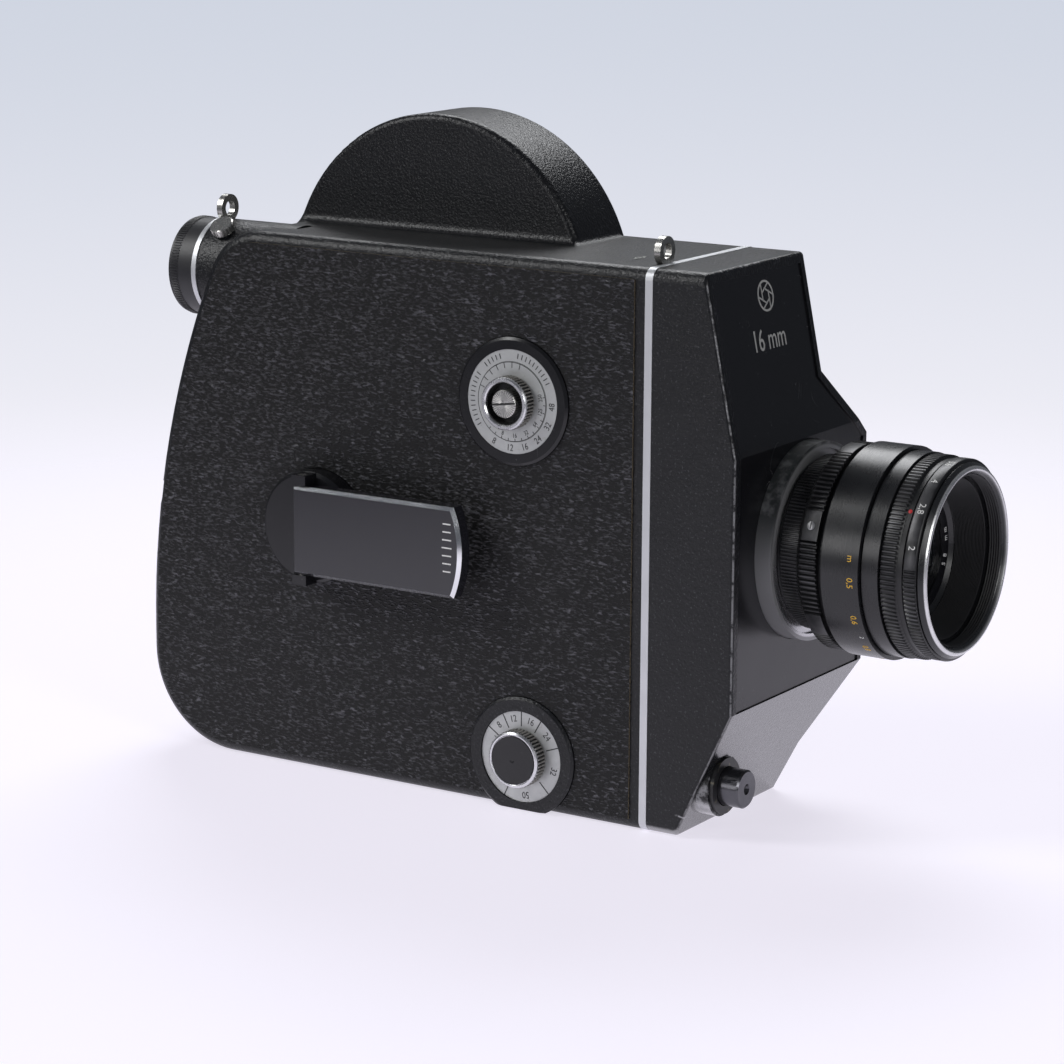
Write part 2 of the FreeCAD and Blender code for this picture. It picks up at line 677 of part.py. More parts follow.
# ---- Bright strip in the joint of shell and front casing --------------------------------
strip = new_body("trim_strip")
strip_proud = dim(0.15)
pad(strip, "x", joint_reach, strip_width, [
    corner_loop(near_side - strip_proud, 0, far_side + strip_proud, deck_height + strip_proud,
                edge_radius, door_edge),
    box_loop(near_side + strip_depth, strip_depth, far_side - strip_depth, deck_height - strip_depth)])

# ---- Front casing with the shutter housing and the release boss -------------------------
casing = new_body("front_casing")
pad(casing, "y", near_side, wing_reach - near_side, [front_profile(casing_rear, dim(0))])
cut(casing, "x", casing_rear - 1, 60, [frame_loop, casing_outline()])


def front_at(height):
    """How far forward the casing's face stands at a height."""
    if height > brow_height.value:
        lean = (front_reach - brow_reach).value / (deck_height - brow_height).value
        return front_reach.value - (height - brow_height.value) * lean
    if height < chin_height.value:
        lean = (front_reach - chin_reach).value / chin_height.value
        return front_reach.value - (chin_height.value - height) * lean
    return front_reach.value


def face_edge(edge):
    """The edges round the outside of the casing's face."""
    box = edge.BoundBox
    if box.ZLength < 0.01 and 1 < box.ZMin < deck_height.value - 1:
        return False
    for share in (0, 0.25, 0.5, 0.75, 1):
        point = edge.valueAt(edge.FirstParameter + (edge.LastParameter - edge.FirstParameter) * share)
        if abs(point.x - front_at(point.z)) > 0.05:
            return False
    return True


round_edges(casing, face_edge_radius, face_edge)
pad(casing, "x", casing_rear + 4, boss_front - casing_rear - 4, [(release_y, release_z, boss_radius)])
cut(casing, "x", casing_rear - 1, casing_well + 1,
    [box_loop(near_side + casing_wall, casing_wall + 3, far_side - casing_wall, deck_height - casing_wall - 2)])
wing_wall = dim(1.5)
wall_face = front_reach - facing - facing_sink - wall
cut(casing, "x", casing_rear + wing_wall, wall_face - casing_rear - wing_wall,
    [box_loop(near_side + casing_wall, chin_height + 2, wing_reach - casing_wall, wing_top - 2)])
cut(casing, "x", wall_face - 1, wall + 2, [(lens_y, lens_z, thread_radius)])
cut(casing, "x", boss_front - 16, 20, [(release_y, release_z, button_radius + 0.6)])
cut(casing, "x", boss_front, 8, [(release_y, release_z, collar_radius + 0.4)])


def facing_outline(inset):
    """The front plate seen from the front."""
    return [
        (near_side + rim_width + inset, chin_height + inset),
        (wing_reach - rim_width - inset, chin_height + inset),
        (wing_reach - rim_width - inset, wing_top - 1.2 - inset),
        (far_side - rim_width - inset, wing_root - 1.2 - inset),
        (far_side - rim_width - inset, deck_height - rim_width - inset),
        (near_side + rim_width + inset, deck_height - rim_width - inset),
    ]


def bent_sheet(body, inner, outer, margin):
    """A sheet that follows the casing's front between two setbacks, cut to the plate's outline."""
    pad(body, "y", near_side, wing_reach - near_side, [[
        (front_reach - inner, chin_height),
        (front_reach - outer, chin_height),
        (front_reach - outer, brow_height),
        (brow_reach - outer, deck_height),
        (brow_reach - inner, deck_height),
        (front_reach - inner, brow_height)]])
    cut(body, "x", brow_reach - 5, 30, [frame_loop, facing_outline(margin)])


seat = tool_body("front_plate_seat")
bent_sheet(seat, facing + facing_sink, dim(-5), dim(0))
subtract(casing, seat)
front_skin = new_body("front_plate")
bent_sheet(front_skin, facing + facing_sink, facing_sink, dim(0.1))
cut(front_skin, "x", brow_reach - 5, 30, [(lens_y, lens_z, flange_radius + 0.2)])

# ---- Lens, drawn along its own axis with distances measured from the socket --------------
lens_at = (0, lens_y, lens_z)
seat_depth = front_reach - facing - facing_sink
turned("lens_mount_flange", "+x", lens_at, [
    (seat_depth, thread_radius), (flange_face - 1, thread_radius), (flange_face - 1, flange_radius - 2),
    (flange_face, flange_radius - 2), (flange_face, flange_radius), (seat_depth, flange_radius)])
glass_room = inner_bore - 4.8
turned("lens_base", "+x", lens_at, [
    (wall_face, glass_room), (flange_face, glass_room), (flange_face, inner_bore),
    (focus_front - 4, inner_bore), (focus_front - 4, inner_barrel), (lock_front, inner_barrel),
    (lock_front, lock_radius), (flange_face + 0.7, lock_radius), (flange_face + 0.7, lock_radius - 1.5),
    (flange_face - 0.8, lock_radius - 1.5), (flange_face - 0.8, thread_radius - fit),
    (wall_face, thread_radius - fit)])
turned("depth_scale_ring", "+x", lens_at, [
    (lock_front + 0.1, inner_barrel + fit), (focus_rear - 0.3, inner_barrel + fit),
    (focus_rear - 0.3, scale_radius - 2), (scale_front, scale_radius - 2), (scale_front, scale_radius),
    (scale_rear, scale_radius), (lock_front + 0.1, scale_radius - 3)])
ring("focus_ring", "+x", lens_at, focus_rear, focus_front, head_tube + slack, focus_radius)
head_rear = focus_rear + 0.5
bezel_rear = preset_front + 0.1
thread_rear = bezel_rear - thread_length
face = bezel_front - well_depth
turned("lens_head", "+x", lens_at, [
    (head_rear, inner_barrel + fit), (focus_front - 2, inner_barrel + fit),
    (focus_front - 2, glass_radius + 0.1), (face - 1, glass_radius + 0.1), (face - 1, name_radius),
    (face, name_radius), (face + 1.5, name_radius + 1.5), (thread_rear, filter_radius - 1.5),
    (thread_rear, filter_radius), (bezel_rear, filter_radius), (bezel_rear, lock_radius),
    (head_front, lock_radius), (head_front, head_radius),
    (focus_front + 0.5, head_radius), (focus_front + 0.5, head_tube), (head_rear, head_tube)])
ring("aperture_ring", "+x", lens_at, head_front + 0.3, iris_ring_front, lock_radius + fit, iris_ring_radius)
ring("preset_ring", "+x", lens_at, iris_ring_front + 0.3, preset_front, lock_radius + fit, preset_radius)
turned("lens_bezel", "+x", lens_at, [
    (bezel_rear, filter_radius), (bezel_front - 1.2, filter_radius), (bezel_front, filter_radius + 1.5),
    (bezel_front, bezel_radius - 0.3), (bezel_front - 0.4, bezel_radius), (bezel_rear, bezel_radius)])
turned("name_ring", "+x", lens_at, [
    (face - 0.9, glass_radius + 0.2), (face - 0.2, glass_radius + 0.2), (face + 0.4, name_radius - 0.1),
    (face - 0.9, name_radius - 0.1)])
turned("front_glass", "+x", lens_at, [
    (focus_front - 1.5, 0), (face - 0.4, 0), (face - 2.6, glass_radius, dome(glass_radius, dim(2.2))),
    (focus_front - 1.5, glass_radius)])
turned("rear_glass", "+x", lens_at, [
    (wall_face + 0.5, 0), (flange_face - 0.5, 0), (flange_face - 0.5, glass_room - 0.05),
    (wall_face + 0.5, glass_room - 0.05)])
ring("iris_blades", "+x", lens_at, focus_front - 3.2, focus_front - 2.4, dim(7), inner_barrel - 0.2)

# ---- Exposure dial ------------------------------------------------------------------------
exposure_at = (exposure_x, near_side, exposure_z)
turned("exposure_surround", "-y", exposure_at, [
    (0, exposure_scale + 0.1), (rim_height, exposure_scale + 0.1), (rim_height, exposure_radius - 0.8),
    (rim_height - 0.6, exposure_radius), (0, exposure_radius)])
ring("exposure_scale_ring", "-y", exposure_at, dim(0), rim_height - 0.2, exposure_disc + 0.1, exposure_scale)
knob_foot = rim_height + 0.3
turned("exposure_disc", "-y", exposure_at, [
    (-shaft_depth, 0), (rim_height, 0), (rim_height, exposure_disc), (0.1, exposure_disc),
    (0.1, dial_shaft), (-shaft_depth, dial_shaft)])
turned("exposure_knob", "-y", exposure_at, [
    (rim_height, 0), (knob_height - 1.2, 0), (knob_height - 1.2, exposure_knob - 1.6),
    (knob_height, exposure_knob - 1.6), (knob_height, exposure_knob - 0.3), (knob_height - 0.3, exposure_knob),
    (knob_foot, exposure_knob), (rim_height, exposure_knob - 0.4)])
turned("exposure_screw", "-y", exposure_at, [
    (knob_height - 1.2, 0), (knob_height - 0.1, 0), (knob_height - 0.4, 3.9), (knob_height - 1.2, 4.06)])

# ---- Speed dial, its surround trimmed level with the base ---------------------------------
speed_at = (speed_x, near_side, speed_z)
surround = turned("speed_surround", "-y", speed_at, [
    (0, speed_disc + 0.1), (rim_height, speed_disc + 0.1), (rim_height, speed_radius - 0.8),
    (rim_height - 0.6, speed_radius), (0, speed_radius)])
cut(surround, "z", -speed_radius - 5, speed_radius - speed_z + 5.3, [box_loop(-30, -30, 30, 30)])
turned("speed_disc", "-y", speed_at, [
    (0, dial_shaft + fit), (rim_height - 0.5, dial_shaft + fit), (rim_height - 0.5, speed_disc),
    (0, speed_disc)])
turned("speed_knob", "-y", speed_at, [
    (-shaft_depth, 0), (knob_height - 1.0, 0), (knob_height - 1.0, speed_knob - 1.2),
    (knob_height - 0.3, speed_knob - 1.2), (knob_height - 0.3, speed_knob - 0.3),
    (knob_height - 0.6, speed_knob), (rim_height, speed_knob), (rim_height - 0.4, speed_knob - 0.5),
    (rim_height - 0.4, dial_shaft), (-shaft_depth, dial_shaft)])
turned("speed_cap", "-y", speed_at, [
    (knob_height - 1.0, 0), (knob_height - 0.1, 0), (knob_height - 0.4, speed_knob - 1.4),
    (knob_height - 1.0, speed_knob - 1.3)])

# ---- Winding crank: hub on the arbor, folding paddle, hinge pin ---------------------------
winder_at = (winder_x, near_side, winder_z)
paddle_back = crank_stand - crank_thickness
hub = turned("crank_hub", "-y", winder_at, [
    (0.2, 0), (paddle_back - slack, 0), (paddle_back - slack, hub_radius - 1),
    (paddle_back - slack - 1, hub_radius), (0.2, hub_radius)])
pin_out = crank_stand - crank_thickness / 2
fork = crank_width / 2 + 0.2
for side in (-1, 1):
    ear_low = side * (fork + 1.5) - 1.5
    pad(hub, "x", paddle_back - slack - 1, crank_thickness / 2 + 3.4, [
        box_loop(-2.5, ear_low, 2.5, ear_low + 3)])
    cut(hub, "z", ear_low - 1, 5, [(pin_out, 0, crank_pin + fit)])
crank = new_body("crank_paddle")
tip_dip = tip_radius - root(tip_radius * tip_radius - crank_width * crank_width / 4)
pad(crank, "y", -crank_thickness / 2, crank_thickness, [[
    (-2.2, -crank_width / 2), (crank_length - tip_dip, -crank_width / 2),
    (crank_length - tip_dip, crank_width / 2, tip_radius), (-2.2, crank_width / 2)]])
paddle_face = -crank_thickness.value / 2
round_edges(crank, 1.0, lambda edge: edge.BoundBox.YMax < paddle_face + 0.01, "Chamfer")
cut(crank, "z", -crank_width / 2 - 1, crank_width + 2, [(0, 0, crank_pin + fit)])
cut(crank, "z", -crank_width / 2 - 1, crank_width + 2, [box_loop(-4, 1.0, -0.6, 4)])
place(crank, FreeCAD.Rotation(), (winder_x, near_side - pin_out, winder_z))
turned("crank_hinge_pin", "+z", (winder_x, near_side - pin_out, winder_z - fork - 2.9), [
    (0, 0), (0, crank_pin), (fork * 2 + 5.8, crank_pin), (fork * 2 + 5.8, 0)])

# ---- Release button -----------------------------------------------------------------------
release_at = (0, release_y, release_z)
ring("release_collar", "+x", release_at, boss_front, boss_front + 1.2, button_radius + 0.2, collar_radius)
turned("release_button", "+x", release_at, [
    (boss_front - 9, 0), (button_front - 3, 0), (button_front - 0.6, 1.3), (button_front, 1.6),
    (button_front, button_radius - 0.5), (button_front - 0.5, button_radius), (boss_front - 5, button_radius),
    (boss_front - 5, 3), (boss_front - 9, 3)])
ring("release_spring", "+x", release_at, boss_front - 15, boss_front - 9.2, dim(3.2), button_radius - 0.4)

# ---- Finder and eyepiece ------------------------------------------------------------------
finder_at = (0, finder_y, finder_z)
cup_front = tube_end - ring_width - 0.2
turned("eyepiece_ring", "+x", finder_at, [
    (tube_end - ring_width, relay_radius + 1), (tube_end + 8, relay_radius + 1), (tube_end + 8, tube_bore - fit),
    (tube_end, tube_bore - fit), (tube_end, ring_radius), (tube_end - ring_width, ring_radius)])
turned("eyecup", "+x", finder_at, [
    (eyecup_end, eyecup_radius - 3.5), (eyecup_end + 3, relay_radius + 1), (cup_front, relay_radius + 1),
    (cup_front, eyecup_radius), (eyecup_end + 3, eyecup_radius), (eyecup_end + 2.6, eyecup_radius - 0.6),
    (eyecup_end + 2.2, eyecup_radius), (eyecup_end, eyecup_radius)])
turned("ocular_lens", "+x", finder_at, [
    (eyecup_end + 4.2, 0, dome(relay_radius + 0.9, dim(1.2))), (cup_front - 1, 0),
    (cup_front - 1, relay_radius + 0.9), (eyecup_end + 5.4, relay_radius + 0.9)])
ring("relay_tube", "+x", finder_at, tube_end + 9, cavity_front + 3, relay_radius - 1, relay_radius)
prism = new_body("finder_prism")
pad(prism, "y", finder_y - 6, lens_y - finder_y + 12, [[
    (casing_rear + 0.5, finder_z - prism_room / 2), (casing_rear + 10.5, finder_z - prism_room / 2),
    (casing_rear + 0.5, finder_z + prism_room / 2 - 0.5)]])
screen = new_body("ground_glass")
pad(screen, "z", finder_z - prism_room / 2 - 2.4, 1.2,
    [box_loop(casing_rear + 0.5, lens_y - 7, casing_rear + 10.5, lens_y + 7)])

# ---- Strap eyes, clamp screw, tripod bush -------------------------------------------------
front_lug = new_body("strap_eye_front")
lug_rise = deck_height + lug_radius - 0.6
pad(front_lug, "x", joint_reach - 2, lug_thickness, [(lug_y, lug_rise, lug_radius)])
cut(front_lug, "x", joint_reach - 3, 5, [(lug_y, lug_rise, lug_hole)])
cut(front_lug, "z", deck_height - 5, 5, [box_loop(joint_reach - 8, lug_y - 8, joint_reach + 8, lug_y + 8)])
rear_lug = new_body("strap_eye_rear")
tube_top = finder_z + tube_radius
pad(rear_lug, "x", tube_end, lug_thickness, [(finder_y, tube_top + lug_radius - 0.8, lug_radius)])
cut(rear_lug, "x", tube_end - 1, 5, [(finder_y, tube_top + lug_radius - 0.8, lug_hole)])
cut(rear_lug, "x", tube_end - 1, 5, [(finder_y, finder_z, tube_radius)])
clamp_screw = turned("clamp_screw", "+x", (0, 0, 0), [
    (tube_radius + 0.6, 0), (tube_radius + 3, 0), (tube_radius + 3, clamp_radius - 0.3),
    (tube_radius + 2.7, clamp_radius), (tube_radius + 0.6, clamp_radius)])
clamp_screw.Placement = FreeCAD.Placement(
    FreeCAD.Vector(), FreeCAD.Rotation(FreeCAD.Vector(1, 0, 0), clamp_angle.value) * TURNS["+z"])
for axis, length in zip("xyz", (clamp_x, finder_y, finder_z)):
    clamp_screw.setExpression("Placement.Base." + axis, length.text)
ring("tripod_bush", "+z", (0, 0, 0), dim(0), bush_depth - 0.1, socket_radius, bush_radius - 0.02)

# ---- Spring motor ---------------------------------------------------------------------------
arbor_end = plate_level + plate_thickness - 0.1
motor_at = (winder_x, 0, winder_z)
turned("winding_arbor", "+y", motor_at, [
    (near_side - 0.1, 0), (arbor_end, 0), (arbor_end, 3), (plate_level - 0.4, 3),
    (plate_level - 0.4, arbor_radius), (near_side - 0.1, arbor_radius)])
barrel_floor = wheel_level - 0.1
arbor_hole = arbor_radius + fit
turned("spring_barrel", "+y", motor_at, [
    (barrel_near, barrel_radius - barrel_wall), (barrel_floor - barrel_wall, barrel_radius - barrel_wall),
    (barrel_floor - barrel_wall, arbor_hole), (barrel_floor, arbor_hole), (barrel_floor, barrel_radius),
    (barrel_near, barrel_radius)])


def spiral_spring():
    """The mainspring: a ribbon coiled in half circles about two centres."""
    half = ribbon.value / 2
    step = ribbon_pitch.value / 2
    first = arbor_radius.value + ribbon_pitch.value
    outer = []
    inner = []
    for k in range(int(2 * ribbon_turns.value)):
        centre = step * (k % 2)
        radius = first + k * step
        sense = 1 if k % 2 == 0 else -1
        for edges, span in ((outer, radius + half), (inner, radius - half)):
            start = FreeCAD.Vector(centre + sense * span, 0, 0)
            top = FreeCAD.Vector(centre, 0, sense * span)
            end = FreeCAD.Vector(centre - sense * span, 0, 0)
            edges.append(Part.Arc(start, top, end).toShape())
    caps = []
    for edge_a, edge_b, where in ((outer[0], inner[0], 0), (outer[-1], inner[-1], 1)):
        point_a = edge_a.valueAt(edge_a.ParameterRange[where])
        point_b = edge_b.valueAt(edge_b.ParameterRange[where])
        caps.append(Part.LineSegment(point_a, point_b).toShape())
    wire = Part.Wire(Part.__sortEdges__(outer + inner + caps))
    near = barrel_near.value + 1.5
    face = Part.Face(wire)
    face.translate(FreeCAD.Vector(0, near, 0))
    return face.extrude(FreeCAD.Vector(0, (barrel_floor - barrel_wall).value - 1 - near, 0))


mainspring = doc.addObject("Part::Feature", "mainspring")
mainspring.Label = "mainspring"
mainspring.Shape = spiral_spring()
place(mainspring, FreeCAD.Rotation(), motor_at)
nodes.append(mainspring)


def gear(label, at, teeth, bore, first_tooth):
    """A spur wheel at the spring wheel's level, its first tooth turned to an angle."""
    pitch = gear_module * teeth / 2
    foot = pitch - gear_module * 1.2
    tip = pitch + gear_module * 0.9
    wheel = new_body(label)
    front = wheel_level + wheel_thickness
    revolve(wheel, [(wheel_level, bore), (front, bore), (front, foot), (wheel_level, foot)])
    tooth = pad(wheel, "x", wheel_level, wheel_thickness, [[
        (foot - 0.6, -gear_module * 0.85), (tip, -gear_module * 0.33),
        (tip, gear_module * 0.33), (foot - 0.6, gear_module * 0.85)]])
    repeat_round(wheel, tooth, teeth)
    place(wheel, TURNS["+y"] * FreeCAD.Rotation(FreeCAD.Vector(1, 0, 0), first_tooth), at)


sprocket_at = (sprocket_x, 0, sprocket_z)
shaft_radius = dim(3) - fit
gear("spring_wheel", motor_at, wheel_teeth, arbor_hole, 0)
gear("sprocket_pinion", sprocket_at, pinion_teeth, shaft_radius + 0.02,
     -pinion_angle.value - 180 / pinion_teeth.value)

# ---- Film path --------------------------------------------------------------------------------
drum_near = plate_level + plate_thickness + 0.4
film_far = film_near + film_width
sprocket = new_body("film_sprocket")
revolve(sprocket, [
    (wheel_level, 0), (film_far + 0.5, 0), (film_far + 0.5, sprocket_radius), (film_far - 3, sprocket_radius),
    (film_far - 3, sprocket_radius - 1.2), (film_near + 3, sprocket_radius - 1.2),
    (film_near + 3, sprocket_radius), (drum_near, sprocket_radius), (drum_near, shaft_radius),
    (wheel_level, shaft_radius)])
cog = pad(sprocket, "x", film_near + 0.9, 1.2, [[
    (sprocket_radius - 0.5, -0.9), (sprocket_radius + 1.1, -0.4), (sprocket_radius + 1.1, 0.4),
    (sprocket_radius - 0.5, 0.9)]])
repeat_round(sprocket, cog, sprocket_teeth)
place(sprocket, TURNS["+y"], sprocket_at)

spool_near = film_near - 1.5
spool_far = film_far + 1.5
for label, x, z in (("supply_spindle", hump_x, hump_z), ("takeup_spindle", takeup_x, takeup_z)):
    turned(label, "+y", (x, 0, z), [
        (plate_level - 0.9, 0), (spool_far - 0.6, 0), (spool_far, spindle_radius - 0.8),
        (spool_far - 0.8, spindle_radius), (spool_near - 0.4, spindle_radius), (spool_near - 0.4, spindle_radius + 3),
        (drum_near, spindle_radius + 3), (drum_near, 2.5), (plate_level - 0.9, 2.5)])
turned("takeup_spool", "+y", (takeup_x, 0, takeup_z), [
    (spool_near, spindle_radius + 0.1), (spool_far, spindle_radius + 0.1), (spool_far, spool_radius),
    (spool_far - 1, spool_radius), (spool_far - 1, core), (spool_near + 1, core),
    (spool_near + 1, spool_radius), (spool_near, spool_radius)])

gate = new_body("gate_plate")
gate_face = film_plane + 0.1
gate_depth = cavity_front - 5 - gate_face
pad(gate, "x", gate_face, gate_depth,
    [box_loop(film_near - 2, lens_z - gate_half, film_far + 2, lens_z + gate_half)])
window = box_loop(lens_y - window_width / 2, lens_z - window_height / 2,
                  lens_y + window_width / 2, lens_z + window_height / 2)
cut(gate, "x", gate_face - 1, gate_depth + 2, [window])
round_edges(gate, 4, lambda edge: edge.BoundBox.XLength > 1 and edge.BoundBox.ZMax > (lens_z + 20).value
            and edge.BoundBox.YLength < 0.01)
presser = new_body("pressure_plate")
pad(presser, "x", film_plane - 2.7, 2.4,
    [box_loop(film_near - 1, lens_z - gate_half + 9, film_far + 1, lens_z + gate_half - 9)])
pad(presser, "x", film_plane - 7, 4.4, [(lens_y, lens_z, 4)])

# ---- Mirror shutter, its disc at 45 degrees across the light ----------------------------------
mirror = new_body("mirror_shutter")
revolve(mirror, [
    (-10, 0), (0.6, 0), (0.6, 3), (0, 3), (0, mirror_radius), (-0.8, mirror_radius), (-0.8, 4), (-3, 4),
    (-3, 1.5), (-10, 1.5)])
cut(mirror, "x", -2, 3, [box_loop(4.2, -mirror_radius - 1, mirror_radius + 1, mirror_radius + 1)])
place(mirror, FreeCAD.Rotation(FreeCAD.Vector(0, 1, 0), -45), (mirror_x, mirror_y, lens_z))

# ---- Check every object, then write one file for each piece -------------------------------
doc.recompute()
for item in doc.Objects:
    if "Invalid" in item.State or "Error" in item.State:
        raise ValueError(item.Label + ": not computed")
os.makedirs("parts", exist_ok=True)
for node in nodes:
    if node.Shape.isNull() or not node.Shape.isValid():
        raise ValueError(node.Label + ": no valid shape")
    node.Shape.exportStep("parts/" + node.Label + ".step")
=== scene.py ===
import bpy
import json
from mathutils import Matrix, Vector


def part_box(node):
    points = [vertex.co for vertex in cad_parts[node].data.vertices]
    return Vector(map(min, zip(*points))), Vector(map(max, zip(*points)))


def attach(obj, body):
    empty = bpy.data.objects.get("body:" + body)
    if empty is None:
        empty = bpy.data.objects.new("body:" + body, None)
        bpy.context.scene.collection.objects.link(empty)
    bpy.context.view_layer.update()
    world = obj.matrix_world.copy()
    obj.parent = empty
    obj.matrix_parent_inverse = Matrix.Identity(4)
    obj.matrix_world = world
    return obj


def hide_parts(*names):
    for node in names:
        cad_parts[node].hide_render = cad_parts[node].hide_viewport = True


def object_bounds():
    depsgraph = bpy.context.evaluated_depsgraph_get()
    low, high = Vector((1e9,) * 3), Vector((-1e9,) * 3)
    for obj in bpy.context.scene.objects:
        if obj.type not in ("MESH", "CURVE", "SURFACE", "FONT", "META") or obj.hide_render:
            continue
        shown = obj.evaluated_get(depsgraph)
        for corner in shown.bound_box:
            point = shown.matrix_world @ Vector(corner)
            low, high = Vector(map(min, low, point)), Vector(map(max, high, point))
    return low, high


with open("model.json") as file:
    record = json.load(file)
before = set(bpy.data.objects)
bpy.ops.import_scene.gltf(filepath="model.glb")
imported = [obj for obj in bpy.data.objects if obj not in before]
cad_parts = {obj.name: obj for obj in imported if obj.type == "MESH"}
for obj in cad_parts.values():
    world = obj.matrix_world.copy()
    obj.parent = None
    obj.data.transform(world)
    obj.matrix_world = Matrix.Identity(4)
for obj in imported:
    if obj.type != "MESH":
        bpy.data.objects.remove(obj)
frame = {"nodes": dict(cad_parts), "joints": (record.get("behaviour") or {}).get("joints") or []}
CAD_BOX = [list(corner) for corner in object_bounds()]

import json
import math

import bmesh
import bpy
from bpy.props import FloatProperty, FloatVectorProperty, IntProperty, PointerProperty
from mathutils import Matrix, Vector

bl_info = {
    "name": "Cine camera",
    "version": (1, 0, 0),
    "blender": (4, 5, 0),
    "location": "View3D > Sidebar > Cine camera",
    "description": "Finishes and fine pieces of a spring-wound cine camera",
    "category": "Object",
}

MM = 0.001
X = Vector((1, 0, 0))
Y = Vector((0, 1, 0))
Z = Vector((0, 0, 1))
NEAR = -Y

# ---- Places, all taken from the frame ------------------------------------------------------


def middle(node):
    """The middle of a node's box."""
    low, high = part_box(node)
    return (low + high) / 2


def half_height(node):
    """The radius of a round node whose axis lies level."""
    low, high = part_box(node)
    return (high.z - low.z) / 2


def along_lens(node):
    """Where a lens ring starts and ends along X, and its radius, in millimetres."""
    low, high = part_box(node)
    return low.x / MM, high.x / MM, half_height(node) / MM


def stands_out(node):
    """How far a dial's piece stands out of the near side, in millimetres."""
    return (NEAR_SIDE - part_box(node)[0].y) / MM


NEAR_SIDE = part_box("main_shell")[0].y
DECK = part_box("trim_strip")[1].z
LENS = Vector((0, middle("focus_ring").y, middle("focus_ring").z))
EXPOSURE_DIAL = Vector((middle("exposure_scale_ring").x, NEAR_SIDE, middle("exposure_scale_ring").z))
SPEED_DIAL = Vector((middle("speed_knob").x, NEAR_SIDE, middle("speed_knob").z))
FINDER = Vector((0, middle("eyecup").y, middle("eyecup").z))
WINDER = Vector((middle("winding_arbor").x, NEAR_SIDE, middle("winding_arbor").z))
LATCH = Vector((middle("door_latch").x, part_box("door_latch")[1].y, middle("door_latch").z))
FILM_PLANE_MARK = Vector((50 * MM, -11.5 * MM, DECK + 0.01 * MM))
TOE = (74.5 * MM, 3.5 * MM)  # middle of the casing's rounded front toe, along X and up

FLOOR_RIM = 0.75
VIEW_FROM = Vector((0.54962, -0.85049, 0.30017))
VIEW_YAW = math.radians(32.547)
VIEW_PITCH = math.radians(12.513)
VIEW_ROLL = math.radians(0.322)

# ---- Shader arithmetic ---------------------------------------------------------------------


class Term:
    """A socket's value that can be used in Python arithmetic."""

    def __init__(self, finish, socket):
        self.finish = finish
        self.socket = socket

    def math(self, operation, *values):
        inputs = dict(enumerate(values))
        return self.finish.node("ShaderNodeMath", {"operation": operation}, inputs)

    def __add__(self, other):
        return self.math("ADD", self, other)

    __radd__ = __add__

    def __mul__(self, other):
        return self.math("MULTIPLY", self, other)

    __rmul__ = __mul__

    def __sub__(self, other):
        return self.math("SUBTRACT", self, other)

    def __rsub__(self, other):
        return self.math("SUBTRACT", other, self)

    def __abs__(self):
        return self.math("ABSOLUTE", self)

    def low(self, other):
        return self.math("MINIMUM", self, other)

    def high(self, other):
        return self.math("MAXIMUM", self, other)

    def root(self):
        return self.math("SQRT", self)

    def wave(self):
        return self.math("SINE", self)

    def around(self, other):
        """The angle of the point (other, self)."""
        return self.math("ARCTAN2", self, other)

    def rise(self, start, end):
        """0 up to start, 1 from end, and smooth between; start may be the larger."""
        settings = {"interpolation_type": "SMOOTHSTEP"}
        inputs = {"Value": self, "From Min": start, "From Max": end}
        return self.finish.node("ShaderNodeMapRange", settings, inputs)


